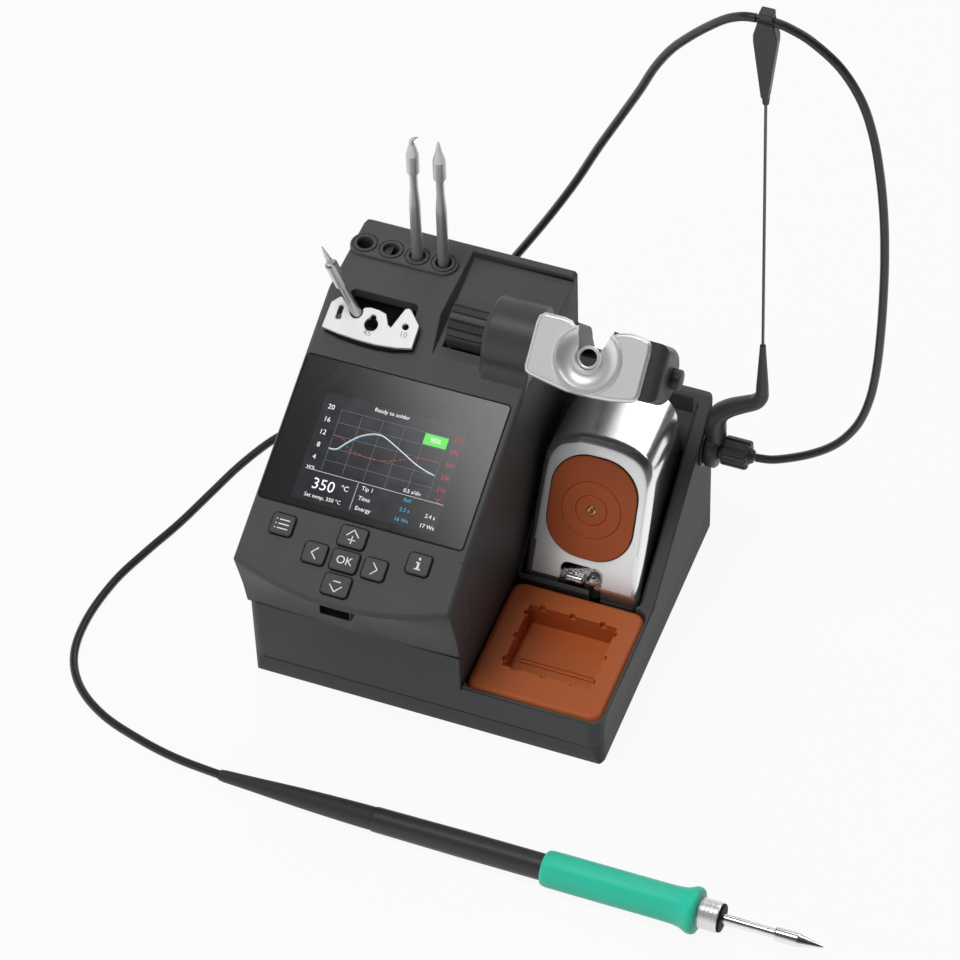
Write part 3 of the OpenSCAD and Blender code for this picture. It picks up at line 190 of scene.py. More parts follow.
finish = {
    "housing": makeFinish("mouldedHousing", (0.078, 0.078, 0.079), 0.54, grain=2600, bump=0.03, roughVary=0.07,
        specular=0.18),
    "base": makeFinish("mouldedBase", (0.055, 0.055, 0.056), 0.54, grain=2600, bump=0.03, specular=0.18),
    "bracket": makeFinish("smoothMoulding", (0.052, 0.052, 0.053), 0.4, grain=2200, specular=0.4),
    "liner": makeFinish("linerMoulding", (0.04, 0.04, 0.041), 0.45, grain=2200, bump=0.03),
    "key": makeFinish("keyPlastic", (0.046, 0.046, 0.047), 0.4, grain=2000, bump=0.015, specular=0.4),
    "glass": makeFinish("displayGlass", (0.014, 0.014, 0.015), 0.13, vary=0.2, roughVary=0.02, grain=200, bump=0),
    "dark": makeFinish("blackMoulding", (0.034, 0.034, 0.035), 0.42, grain=2000),
    "black": makeFinish("shadowBlack", (0.006, 0.006, 0.006), 0.6, grain=1500, bump=0.01, specular=0.2),
    "rubber": makeFinish("blackRubber", (0.03, 0.03, 0.03), 0.55, grain=1500, sheen=0.1),
    "cable": makeFinish("cableJacket", (0.022, 0.022, 0.022), 0.32, grain=1200),
    "chrome": makeFinish("chromedSheet", (0.95, 0.95, 0.955), 0.17, metallic=0.93, vary=0.02, roughVary=0.03,
        grain=120, bump=0.004),
    "bright": makeFinish("polishedSteel", (0.86, 0.86, 0.87), 0.24, metallic=1, vary=0.02, roughVary=0.03,
        grain=500, bump=0.004),
    "satin": makeFinish("satinSteel", (0.62, 0.62, 0.63), 0.3, metallic=1, vary=0.04, roughVary=0.06, grain=900,
        bump=0.01, stretch=(1, 1, 6)),
    "plate": makeFinish("brightPlate", (0.68, 0.68, 0.685), 0.34, metallic=0.15, vary=0.015, grain=2400, bump=0.01),
    # a whiter, less metallic copy of the chrome for the guard's flat face: painted reflection
    "paintedReflectionFace": makeFinish("chromeWithPaintedReflection", (0.95, 0.95, 0.955), 0.24, metallic=0.55, vary=0.02, grain=120, bump=0.004),
    # bright cast finish of the bore mouth and handle nut, also the painted highlight on the holder plate's edge and
    # funnel
    "castAndHighlight": makeFinish("satinCastingAndPaintedHighlight", (0.88, 0.88, 0.885), 0.36, metallic=0.7, vary=0.015, grain=1500, bump=0.006),
    "shaft": makeFinish("brushedShaft", (0.62, 0.62, 0.625), 0.34, metallic=0.75, vary=0.04, grain=1200,
        bump=0.008, stretch=(1, 1, 8)),
    "white": makeFinish("whitePrint", (0.85, 0.85, 0.85), 0.5, vary=0.02, grain=1500, bump=0.005),
    "grey": makeFinish("greyPrint", (0.22, 0.22, 0.22), 0.5, vary=0.02, grain=1500, bump=0.005),
    "anodised": makeFinish("darkAnodised", (0.03, 0.03, 0.032), 0.36, metallic=0.4, grain=1800, bump=0.015),
    "rod": makeFinish("darkSpringSteel", (0.12, 0.12, 0.125), 0.3, metallic=1, grain=1500, bump=0.01),
    "silicone": makeFinish("orangeSilicone", (0.46, 0.105, 0.024), 0.5, vary=0.07, grain=1300, bump=0.03, scatter=0.08),
    "membrane": makeFinish("brownSilicone", (0.42, 0.088, 0.02), 0.5, grain=1300),
    "green": makeFinish("softGreenGrip", (0.02, 0.62, 0.41), 0.45, vary=0.05, grain=1800, sheen=0.2),
    "brass": makeFinish("brassWool", (0.72, 0.48, 0.16), 0.3, metallic=1, vary=0.3, grain=900, bump=0.4),
    "board": makeFinish("circuitBoard", (0.02, 0.16, 0.06), 0.4, vary=0.25, grain=400, bump=0.05, coat=0.3),
    "winding": makeFinish("wrappedWinding", (0.5, 0.33, 0.08), 0.45, vary=0.2, grain=700, bump=0.2, stretch=(1, 1, 0.1)),
    "aluminium": makeFinish("extrudedAluminium", (0.6, 0.6, 0.62), 0.35, metallic=1, grain=900,
        stretch=(1, 8, 1)),
    "picture": makeFinish("unlitPicture", (0.012, 0.014, 0.018), 0.3, grain=1500, bump=0),
    "pictureBack": makeFinish("litPicture", (0.016, 0.017, 0.02), 0.13, vary=0.1, grain=200, bump=0, glow=0.45),
}
inks = {"Grid": (0.1, 0.1, 0.12, 0.5), "Line": (0.45, 0.47, 0.48, 0.5), "White": (0.75, 0.76, 0.77, 0.5),
    "Red": (0.42, 0.03, 0.03, 0.5), "Blue": (0.06, 0.3, 0.48, 0.5), "Green": (0.1, 0.52, 0.08, 0.6)}
for ink, (*colour, glow) in inks.items():
    finish["picture" + ink] = makeFinish("picture" + ink, colour, 0.4, vary=0.03, grain=900, bump=0, glow=glow)
nodeFinish = {
    "housing": ["console_walls", "console_face", "console_top", "stand_bay"],
    "base": ["base_tray"],
    "bracket": ["holder_bracket"],
    "key": ["key_menu", "key_up", "key_left", "key_ok", "key_right", "key_down", "key_info", "holder_head"],
    "glass": ["display_window"],
    "picture": ["display_panel"],
    "dark": ["extractor_base", "extractor_pocket", "cartridge_rack", "mains_inlet", "fuse_drawer", "power_switch", "power_rocker",
        "earth_socket", "collector_clip", "wiper_bar", "holder_knob", "handle_body", "usb_port"],
    "liner": ["stand_insert"],
    "rubber": ["rubber_feet", "handle_relief"],
    "cable": ["cable_plug_side", "cable_handle_side"],
    "chrome": ["tip_guard"],
    "satin": ["base_screws", "cartridge_bent", "cartridge_straight", "cartridge_leaning", "transformer_clamp",
        "wiper_screw", "holder_shaft", "handle_nut", "handle_cartridge"],
    "rod": ["collector_rod"],
    "plate": ["extractor_plate", "holder_plate"],
    "anodised": ["tool_socket", "plug_body", "plug_nut", "collector_arm", "wool_cup"],
    "silicone": ["silicone_tray"],
    "membrane": ["membrane"],
    "green": ["handle_grip"],
    "brass": ["brass_wool"],
    "board": ["keypad_board", "main_board"],
    "winding": ["power_transformer"],
    "aluminium": ["heat_sink"],
}
for look, names in nodeFinish.items():
    for name in names:
        nodes[name].data.materials.clear()
        nodes[name].data.materials.append(finish[look])
print("finishes made:", len(finish))


def addPiece(name, bm, place, look, body, stands=(), smoothTo=40):
    # turns a bmesh in local millimetres into a piece of the station
    bmesh.ops.transform(bm, matrix=place, verts=bm.verts)
    mesh = bpy.data.meshes.new(name)
    bm.to_mesh(mesh)
    bm.free()
    mesh.shade_smooth()
    mesh.set_sharp_from_angle(angle=math.radians(smoothTo))
    piece = addObject(name, mesh)
    mesh.materials.append(finish[look])
    flat = piece.modifiers.new("flat", "WEIGHTED_NORMAL")    # keeps large faces flat beside their rounded edges
    flat.keep_sharp = True
    flat.weight = 100
    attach(piece, body)
    if stands:
        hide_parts(*stands)
    return piece


def roundEdges(bm, width, steps, test):
    picked = [e for e in bm.edges if e.is_manifold and test(e)]
    bmesh.ops.bevel(bm, geom=picked, offset=width, offset_type="OFFSET", segments=steps, profile=0.5, affect="EDGES",
            clamp_overlap=False, material=-1)


def sharperThan(degrees, shortest=0):
    return lambda e: e.calc_face_angle(0) > math.radians(degrees) and e.calc_length() > shortest


def topEdges(level, degrees=30):
    # sharp edges lying at one height
    return lambda e: e.calc_face_angle(0) > math.radians(degrees) and all(abs(v.co.z - level) < 0.02 for v in e.verts)


def softCopy(names, name, look, width=0.5, steps=2, sharpFrom=40, shortest=0, partings=(), smoothTo=35):
    # one merged copy of the nodes, without the faces where they are parted, and with its sharp edges rounded
    names = [names] if isinstance(names, str) else names
    bm = bmesh.new()
    for node in names:
        bm.from_mesh(nodes[node].data)
    bmesh.ops.remove_doubles(bm, verts=bm.verts, dist=2e-6)
    for axis, level in partings:
        hidden = [f for f in bm.faces if all(abs(v.co[axis] - level) < 5e-6 for v in f.verts)]
        bmesh.ops.delete(bm, geom=hidden, context="FACES")
    bmesh.ops.dissolve_limit(bm, angle_limit=math.radians(1), use_dissolve_boundaries=False, verts=bm.verts, edges=bm.edges,
            delimit={"NORMAL"})
    # short concave edges of every copy stay as they are; on the rack this leaves flaps in its second hole
    sharp, concaveFrom = sharperThan(sharpFrom, shortest * mm), 20
    roundEdges(bm, width * mm, steps, lambda e: sharp(e) and (e.is_convex or e.calc_length() > concaveFrom * mm))
    return addPiece(name, bm, Matrix.Identity(4), look, nodes[names[0]]["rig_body"], names, smoothTo)


def outlineSolid(points, low, high):
    # an outline drawn up from one height to another
    bm = bmesh.new()
    base = bm.faces.new([bm.verts.new((x, y, low)) for x, y in points])
    grown = bmesh.ops.extrude_face_region(bm, geom=[base])
    bmesh.ops.translate(bm, verts=[v for v in grown["geom"] if isinstance(v, bmesh.types.BMVert)], vec=(0, 0, high - low))
    bmesh.ops.recalc_face_normals(bm, faces=bm.faces)
    return bm


def rectangle(x0, y0, x1, y1):
    return [(x0, y0), (x1, y0), (x1, y1), (x0, y1)]


def moved(bm, x, y):
    bmesh.ops.translate(bm, vec=(x, y, 0), verts=bm.verts)
    return bm


def lathe(points, steps):
    # turns an outline of (radius, height) about z
    bm = bmesh.new()
    line = [bm.verts.new((r, 0, h)) for r, h in points]
    edges = [bm.edges.new(pair) for pair in zip(line, line[1:])]
    bmesh.ops.spin(bm, geom=line + edges, cent=(0, 0, 0), axis=(0, 0, 1), steps=steps, angle=2 * math.pi, use_merge=True)
    bmesh.ops.remove_doubles(bm, verts=bm.verts, dist=1e-4)
    bmesh.ops.recalc_face_normals(bm, faces=bm.faces)
    return bm


def roundRect(x0, y0, x1, y1, radius, steps=8):
    points = []
    for cx, cy, start in ((x1 - radius, y0 + radius, -90), (x1 - radius, y1 - radius, 0),
            (x0 + radius, y1 - radius, 90), (x0 + radius, y0 + radius, 180)):
        for k in range(steps + 1):
            a = math.radians(start + 90 * k / steps)
            points.append((cx + radius * math.cos(a), cy + radius * math.sin(a)))
    return points


def lobed(radius, depth, count, flat=0.72, steps=10):
    # a round outline with broad ribs and narrow grooves
    points = []
    for k in range(count * steps):
        share = (k % steps) / steps
        dip = 0 if share < flat else math.sin(math.pi * (share - flat) / (1 - flat))
        a = 2 * math.pi * k / (count * steps)
        points.append(((radius - depth * dip) * math.cos(a), (radius - depth * dip) * math.sin(a)))
    return points


def smoothLine(points, parts):
    # points on a smooth curve through the given ones
    line = []
    for i in range(len(points) - 1):
        a, b, c, d = (Vector(points[min(max(i + k, 0), len(points) - 1)]) for k in (-1, 0, 1, 2))
        for k in range(parts):
            t = k / parts
            line.append(0.5 * (2 * b + (c - a) * t + (2 * a - 5 * b + 4 * c - d) * t * t + (3 * b - a - 3 * c + d) * t ** 3))
    return line + [Vector(points[-1])]


def smoothFlat(points, parts):
    return [(p.x, p.y) for p in smoothLine([(x, y, 0) for x, y in points], parts)]


def combine(body, tool, how):
    # joins two closed forms, or takes one from the other
    pair = []
    for part in (body, tool):
        mesh = bpy.data.meshes.new("form")
        part.to_mesh(mesh)
        part.free()
        pair.append(addObject("form", mesh))
    change = pair[0].modifiers.new("change", "BOOLEAN")
    change.operation = how
    change.object = pair[1]
    change.solver = "MANIFOLD"
    mesh = finalMesh(pair[0])
    bm = bmesh.new()
    bm.from_mesh(mesh)
    for made in pair:
        bpy.data.objects.remove(made)
    bpy.data.meshes.remove(mesh)
    bmesh.ops.remove_doubles(bm, verts=bm.verts, dist=1e-3)
    return bm


# The cable in two stretches: from the plug up to the clip in the socket's plane, and from the clip down to the handle
cable = {
    "diameter": 3.5,
    "plugSide": [
        (96.5, 60.5), (103, 61.8), (110.5, 65.6), (119, 71.2), (127.1, 78.4), (133.6, 87.2), (139, 99), (142.6, 114.5),
        (144.4, 133), (145.1, 153), (145.2, 173), (144.8, 193), (143.6, 214), (141.3, 235), (137.8, 255), (132.5, 272),
        (124, 286), (113, 295.5), (104.5, 299.6), (98.8, 301), (95.2, 301.2), (91.8, 301.2),
    ],
    "handleSide": [
        (91.2, 125, 301.1), (86, 125.3, 300), (79.5, 126.5, 295.8), (72, 128.5, 288), (64, 130.5, 278.5),
        (56, 132.5, 267.5), (49, 134.2, 254.5), (42.5, 136, 239), (33.5, 138.5, 219), (24, 141, 198),
        (14, 143.5, 174.5), (3, 146, 151), (-8, 148.5, 129), (-19, 150.5, 108), (-31, 152, 86),
        (-43, 152.5, 64.5), (-56, 152, 44), (-70, 150, 26), (-83, 146, 12.5), (-95, 139, 4.5),
        (-106, 128, 2), (-115, 115.5, 1.8), (-122.5, 98, 1.8), (-128, 80, 1.8), (-134, 60, 1.8),
        (-141, 41, 1.8), (-147, 22, 1.8), (-149.6, 0, 1.8), (-147, -19, 1.8), (-138, -33.5, 1.8),
        (-123, -44, 1.8), (-104, -50.5, 1.8), (-86, -54.6, 2.2), (-67, -56.7, 2.8),
    ],
}


def lineLength(line):
    return sum((b - a).length for a, b in zip(line, line[1:]))


def cableCurve(name, line):
    data = bpy.data.curves.new(name, "CURVE")
    data.dimensions = "3D"
    data.bevel_depth = cable["diameter"] / 2 * mm
    data.bevel_resolution = 5
    data.use_fill_caps = True
    spline = data.splines.new("POLY")
    spline.points.add(len(line) - 1)
    for point, place in zip(spline.points, line):
        point.co = (*place, 1)
    spline.use_smooth = True
    data.materials.append(finish["cable"])
    return addObject(name, data)


plugLine = [spot(*p) for p in smoothLine([(x, station["socketY"], z) for x, z in cable["plugSide"]], 6)]
handleLine = [spot(*p) for p in smoothLine(cable["handleSide"], 6)]
plugCable = cableCurve("cablePlugSide", plugLine)
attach(plugCable, "collector")
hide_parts("cable_plug_side")
curved = cableCurve("cableHandleCurve", handleLine)
handleCable = addObject("cableHandleSide", finalMesh(curved))
bpy.data.objects.remove(curved)
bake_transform(handleCable)
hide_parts("cable_handle_side")
print("cable laid:", round(lineLength(plugLine), 3), "m and", round(lineLength(handleLine), 3), "m")

# Console, bay and base, each one moulded shell with soft edges
console = {"edge": 0.55, "parted": [(0, spot(-72, 0, 0).x), (0, spot(-27.5, 0, 0).x), (0, spot(13, 0, 0).x),
        (1, spot(0, 74, 0).y), (1, spot(0, 135, 0).y)]}
softCopy(["console_walls", "console_face", "console_top"], "consoleShell", "housing", console["edge"], shortest=0.9,
        partings=console["parted"])
softCopy("stand_bay", "bayShell", "housing", 0.7, 3, shortest=0.9)

# Black band above the base, painted shadow of the parting gap between shells and base, and a strip that closes the
# groove between console and bay along the front
shadowBand = {"inset": 0.1, "thick": 1.2, "low": 12.5, "high": 13.5, "corner": 6, "proud": 2, "over": 1}
filler = {"outline": (14.6, -1.985, 17.4, -1), "low": 13.9, "high": 26.5}


def shadowBandForm(t, low, high):
    outline = roundRect(station["left"] + t, t - shadowBand["proud"], station["right"] - t, station["depth"] - t,
            shadowBand["corner"] - t)
    return outlineSolid(outline, low, high)


outer = shadowBandForm(shadowBand["inset"], shadowBand["low"], shadowBand["high"])
inner = shadowBandForm(shadowBand["thick"], shadowBand["low"] - shadowBand["over"], shadowBand["high"] + shadowBand["over"])
# near-black band in the groove: painted shadow of the gap
addPiece("baseSeamShadow", combine(outer, inner, "DIFFERENCE"), stationFrame, "black", "root")
bm = outlineSolid(rectangle(*filler["outline"]), filler["low"], filler["high"])
addPiece("frontFiller", bm, stationFrame, "housing", "root")
softCopy("base_tray", "baseShell", "base", shortest=0.9)
softCopy("stand_insert", "standLiner", "liner", shortest=0.9)
print("shells dressed")

# Display: glass, a black band round it painted as the shadow of its gap, and the lit picture
display = {
    "glass": (-73.2, 27, 12.4, 88.4), "round": 1.4, "rim": 0.55, "proud": 0.15, "bevel": 0.12,
    "area": (-60.5, 30, -0.5, 75),
    "gridX": [-52.3, -43.5, -34.6, -25.6, -16.6, -7.4], "gridS": [69.4, 64.1, 58.7, 53.3, 48.1, 43.6],
    "scale": ["20", "16", "12", "8", "4", "W%"], "redScale": ["390", "370", "350", "330", "310", "°C"],
    "curve": [(-52.3, 53), (-49.1, 53.5), (-46.1, 56.9), (-42.3, 60.5), (-38.8, 62.5), (-35.7, 63.4), (-32.3, 63.2),
        (-27.5, 61.1), (-22.5, 58.7), (-17.5, 56.2), (-12.8, 54.5), (-8, 53.3)],
    "redCurve": [(-52.3, 58.7), (-48, 58.3), (-44.5, 54.6), (-38, 53.3), (-32, 53.1), (-25.5, 54.6), (-20.3, 57),
        (-15.5, 58.6), (-8, 59.1)],
}
grid, pale, bright, red, blue, lime = range(1, 7)    # places of the inks among the picture's materials


def addBar(bm, a, b, width, level, slot=0, thick=0.02):
    # a thin strip from a to b
    a, b = Vector(a), Vector(b)
    along = b - a
    place = (shifted((a.x + b.x) / 2, (a.y + b.y) / 2, level) @ Matrix.Rotation(math.atan2(along.y, along.x), 4, "Z")
            @ Matrix.Diagonal((along.length + width * 0.5, width, thick, 1)))
    made = bmesh.ops.create_cube(bm, size=1, matrix=place)
    for face in {f for v in made["verts"] for f in v.link_faces}:
        face.material_index = slot


def addStroke(bm, points, width, level, slot=0):
    for a, b in zip(points, points[1:]):
        addBar(bm, a, b, width, level, slot)


def addWords(bm, words, x, y, size, level, slot=0, align="CENTER", thick=0.012):
    # lettering as thin solid letters
    data = bpy.data.curves.new("words", "FONT")
    data.body = words
    data.size = size
    data.align_x = align
    data.align_y = "CENTER"
    data.extrude = thick
    data.resolution_u = 3
    holder = addObject("words", data)
    letters = finalMesh(holder)
    letters.transform(shifted(x, y, level))
    for face in letters.polygons:
        face.material_index = slot
    bm.from_mesh(letters)
    bpy.data.objects.remove(holder)
    bpy.data.curves.remove(data)
    bpy.data.meshes.remove(letters)


x0, s0, x1, s1 = display["glass"]
top, rim = display["proud"], display["rim"]
bm = outlineSolid(roundRect(x0, s0, x1, s1, display["round"]), -2, top)
roundEdges(bm, display["bevel"], 2, topEdges(top))
addPiece("displayGlass", bm, panelFrame, "glass", "root", ["display_window"], 30)
# black band just outside the glass: painted shadow in the gap round it
bm = outlineSolid(roundRect(x0 - rim, s0 - rim, x1 + rim, s1 + rim, display["round"] + rim), -1.5, 0.05)
addPiece("displayGapShadow", bm, panelFrame, "black", "root")

bm = bmesh.new()
ax0, as0, ax1, as1 = display["area"]
backPlace = shifted((ax0 + ax1) / 2, (as0 + as1) / 2, top + 0.005) @ Matrix.Diagonal((ax1 - ax0, as1 - as0, 0.02, 1))
bmesh.ops.create_cube(bm, size=1, matrix=backPlace)
gridX, gridS = display["gridX"], display["gridS"]
for x in gridX:
    addBar(bm, (x, gridS[-1]), (x, gridS[0]), 0.15, top + 0.02, grid)
for s in gridS[:-1]:
    addBar(bm, (gridX[0], s), (gridX[-1], s), 0.15, top + 0.02, grid)
addBar(bm, (-58.8, 42.9), (-0.6, 42.6), 0.2, top + 0.025, pale)
addBar(bm, (-36.1, 42.4), (-36.1, 31.2), 0.2, top + 0.025, pale)
for words, s in zip(display["scale"], gridS):
    addWords(bm, words, -56.8, s, 2 if words == "W%" else 2.9, top + 0.03, bright)
for words, s in zip(display["redScale"], gridS):
    addWords(bm, words, -3.4, s, 2.5, top + 0.03, red)
for a, b in zip(display["redCurve"], display["redCurve"][1:]):
    a, b = Vector(a), Vector(b)
    for k in range(3):
        addBar(bm, a.lerp(b, (k + 0.15) / 3), a.lerp(b, (k + 0.65) / 3), 0.22, top + 0.03, red)
powerCurve = smoothFlat(display["curve"], 4)
addStroke(bm, [(x + 0.3, s - 0.35) for x, s in powerCurve], 0.22, top + 0.03, blue)
addStroke(bm, powerCurve, 0.26, top + 0.04, bright)
addBar(bm, (-15.6, 66.8), (-8.2, 66.8), 4.6, top + 0.04, lime)
for words, x, s, size, ink, *align in (
        ("95%", -11.9, 66.8, 2.7, bright), ("350", -49.3, 37.6, 6.4, bright), ("°C", -40.6, 38.6, 3, bright),
        ("Set temp. 350 °C", -48, 32.6, 2.2, bright), ("Ready to solder", -32.2, 73, 2.3, bright),
        ("0.5 s/div", -14.2, 44.4, 2.2, bright), ("Tip 1", -34.2, 40.7, 2.4, bright, "LEFT"),
        ("Time", -34.2, 36.6, 2.4, bright, "LEFT"), ("Energy", -34.2, 32.4, 2.4, bright, "LEFT"),
        ("Ref.", -14.8, 40.7, 2.2, blue), ("2.3 s", -14.8, 36.6, 2.2, blue), ("16 Ws", -14.8, 32.4, 2.2, blue),
        ("2.4 s", -4.1, 36.6, 2.3, bright), ("17 Ws", -4.1, 32.4, 2.3, bright)):
    addWords(bm, words, x, s, size, top + 0.05, ink, *align)
picture = addPiece("displayPicture", bm, panelFrame, "pictureBack", "root")
for ink in inks:
    picture.data.materials.append(finish["picture" + ink])
print("display drawn")

# Keys with their symbols
keys = {
    "menu": {"at": (-59.7, 18.1), "wide": 9.4, "sign": [([(a, row), (b, row)], 1) for row in (-1.8, 0, 1.8)
        for a, b in ((-2.75, -2.45), (-1.5, 2.7))]},
    "up": {"at": (-30.9, 20.5), "wide": 11.2, "sign": [([(-2.5, 0.2), (0, 2.9), (2.5, 0.2)], 1),
        ([(-1.5, -1.3), (1.5, -1.3)], 1), ([(0, -2.8), (0, 0.2)], 1)]},
    "left": {"at": (-43.4, 10.4), "wide": 9.4, "sign": [([(1, 2.4), (-1.3, 0), (1, -2.4)], 1)]},
    "ok": {"at": (-30.9, 10.4), "wide": 11.2, "words": "OK", "sign": []},
    "right": {"at": (-18.4, 10.4), "wide": 9.4, "sign": [([(-1, 2.4), (1.3, 0), (-1, -2.4)], 1)]},
    "down": {"at": (-30.9, 0.2), "wide": 11.2, "sign": [([(-2.5, -0.2), (0, -2.8), (2.5, -0.2)], 1),
        ([(-1.5, 1.4), (1.5, 1.4)], 1)]},
    "info": {"at": (-2.1, 17), "wide": 9.4, "sign": [([(-1.1, -2.1), (1.1, -2.1)], 1.3), ([(0, -2.1), (0, 0.5)], 2.2),
        ([(-1, 0.5), (0, 0.5)], 1.3), ([(-0.1, 2.1), (0.1, 2.1)], 2.4)]},
}
keyForm = {"long": 8.6, "proud": 1.2, "corner": 1.5, "edge": 0.5, "line": 0.42, "gap": 0.5, "words": 4.6}


def keyOutline(key, grown=0):
    (x, s), half, tall = key["at"], key["wide"] / 2 + grown, keyForm["long"] / 2 + grown
    return roundRect(x - half, s - tall, x + half, s + tall, keyForm["corner"] + grown, 6)


for name, key in keys.items():
    (x, s), proud = key["at"], keyForm["proud"]
    bm = outlineSolid(keyOutline(key), -4, proud)
    roundEdges(bm, keyForm["edge"], 3, topEdges(proud))
    addPiece(name + "Key", bm, panelFrame, "key", name + "_key", ["key_" + name], 40)
    # a black sheet a little larger than each key: painted shadow in the gap round the key
    addPiece(name + "GapShadow", outlineSolid(keyOutline(key, keyForm["gap"]), -0.6, 0.05), panelFrame, "black", "root")
    bm = bmesh.new()
    for points, heavy in key["sign"]:
        addStroke(bm, [(x + dx, s + ds) for dx, ds in points], keyForm["line"] * heavy, proud + 0.01)
    if "words" in key:
        addWords(bm, key["words"], x, s, keyForm["words"], proud + 0.01)
    addPiece(name + "Mark", bm, panelFrame, "white", name + "_key")
print("keys made:", len(keys))

# Cartridge extractor with the numbers of its notches
extractor = {"plane": 4, "words": [("10", -65.6, 104.9), ("45", -51.9, 101.4), ("10", -37.6, 104.4)], "size": 3.4,
        "bevel": 0.3}
softCopy("extractor_plate", "extractorPlate", "plate", extractor["bevel"])
# the base is a dark moulding made near-black: its own dark colour plus painted shade under the plate
softCopy("extractor_base", "extractorBase", "black", extractor["bevel"])
bm = bmesh.new()
for words, x, s in extractor["words"]:
    addWords(bm, words, x, s, extractor["size"], extractor["plane"] + 0.01)
addPiece("extractorNumbers", bm, panelFrame, "grey", "root")
softCopy("cartridge_rack", "rackSleeves", "bracket", 0.35, shortest=0.4)

# Raised boss of the rack, with a groove and a ring round each hole
rack = {"x": -69, "pitch": 11.2, "holes": 4, "y": 122.4, "foot": 94.05, "low": 129, "top": 131.4, "edge": 0.9,
        "boss": 6.2, "ring": 4.75, "bore": 3.25, "groove": 0.45}
rackHoles = [rack["x"] + k * rack["pitch"] for k in range(rack["holes"])]
size, low, h = rack["boss"], rack["low"], rack["top"]
bm = outlineSolid(roundRect(rackHoles[0] - size, rack["y"] - size, rackHoles[-1] + size, rack["y"] + size, size - 0.01, 14),
        low, h)
roundEdges(bm, rack["edge"], 4, topEdges(h, 20))
r, g, b = rack["ring"], rack["groove"], rack["bore"]
ringForms = (
    ("DIFFERENCE", [(0, 120), (r + g, 120), (r + g, 140), (0, 140)]),
    ("UNION", [(b, low), (r, low), (r, h + 0.1), (r - 0.3, h + 0.4), (r - 0.8, h + 0.45), (b + 0.3, h + 0.3), (b, h - 0.1),
        (b, low)]),
    ("UNION", [(r - 0.1, low), (r + g + 0.1, low), (r + g + 0.1, h - 0.9), (r - 0.1, h - 0.9), (r - 0.1, low)]),
)
for x in rackHoles:
    for how, shape in ringForms:
        bm = combine(bm, moved(lathe(shape, 48), x, rack["y"]), how)
addPiece("rackBoss", bm, stationFrame, "housing", "root")

# Cartridges: shank, neck, collar and cone, all turned in one
cartridge = {
    "shank": [(0, 0), (1.75, 0), (1.75, 4), (2.25, 4.4), (2.25, 66), (2.2, 68), (1.66, 76), (1.64, 84.6), (1.8, 85),
        (2.45, 85.05), (2.6, 85.3), (2.6, 94.6), (2.5, 95), (2, 97.3), (1.45, 99.2), (1.2, 100)],
    "straight": [(1.1, 101), (0.8, 103), (0.25, 104.9), (0, 105)], "bent": [(1.1, 100.6), (0.6, 101.2), (0, 101.3)],
    "bend": [(0, 99.8), (-0.2, 101.2), (0.3, 102.6), (1.5, 103.9), (3, 104.8)], "bendRadius": [1.05, 1, 0.8, 0.5, 0.15],
}


def sweptTube(points, radii, steps=24, flat=1):
    # a tube through the points with a radius at each, lying in the xz plane and narrowed across it by flat
    bm = bmesh.new()
    rings = []
    for k, ((x, z), radius) in enumerate(zip(points, radii)):
        a, b = points[max(k - 1, 0)], points[min(k + 1, len(points) - 1)]
        slope = math.atan2(b[0] - a[0], b[1] - a[1])
        place = shifted(x, 0, z) @ Matrix.Rotation(slope, 4, "Y") @ Matrix.Diagonal((flat, 1, 1, 1))
        made = bmesh.ops.create_circle(bm, segments=steps, radius=radius, cap_ends=k in (0, len(points) - 1), matrix=place)
        rings.append(list({e for v in made["verts"] for e in v.link_edges if len(e.link_faces) < 2}))
    for low, high in zip(rings, rings[1:]):
        bmesh.ops.bridge_loops(bm, edges=low + high)
    bmesh.ops.recalc_face_normals(bm, faces=bm.faces)
    return bm


def smoothRadii(radii, parts):
    return [p[0] for p in smoothFlat([(r, k) for k, r in enumerate(radii)], parts)]


def cartridgeForm(tip):
    return lathe(cartridge["shank"] + cartridge[tip], 40)


addPiece("cartridgeStraight", cartridgeForm("straight"), stationFrame @ shifted(rackHoles[3], rack["y"], rack["foot"]),
        "shaft", "spare_straight", ["cartridge_straight"], 30)
bent = sweptTube(smoothFlat(cartridge["bend"], 4), smoothRadii(cartridge["bendRadius"], 4))
addPiece("cartridgeBent", combine(cartridgeForm("bent"), bent, "UNION"),
        stationFrame @ shifted(rackHoles[2], rack["y"], rack["foot"]), "shaft", "spare_bent", ["cartridge_bent"], 30)
print("extractor and rack made")

# Chromed tip guard, made as one bent sheet
guard = {
    "rear": 123.5, "foot": 18, "sheet": 1.2, "side": 3.4, "rearRound": 11, "half": 24.6, "tall": 66.3,
    "outline": [(24.6, 0), (24.45, 10), (24.2, 24), (23.9, 38), (23.6, 47), (23.1, 53), (21.9, 57.2), (19.6, 60.9),
        (16, 63.6), (11, 65.3), (5.5, 66.1), (0, 66.3)],
    "hole": (-16.65, 15.5, 16.65, 57, 14), "notch": (-9.4, -12, 8.6, 10.4, 3),
}
lean = math.radians(station["guardLean"])
faceNormal = Vector((0, -math.sin(lean), math.cos(lean)))


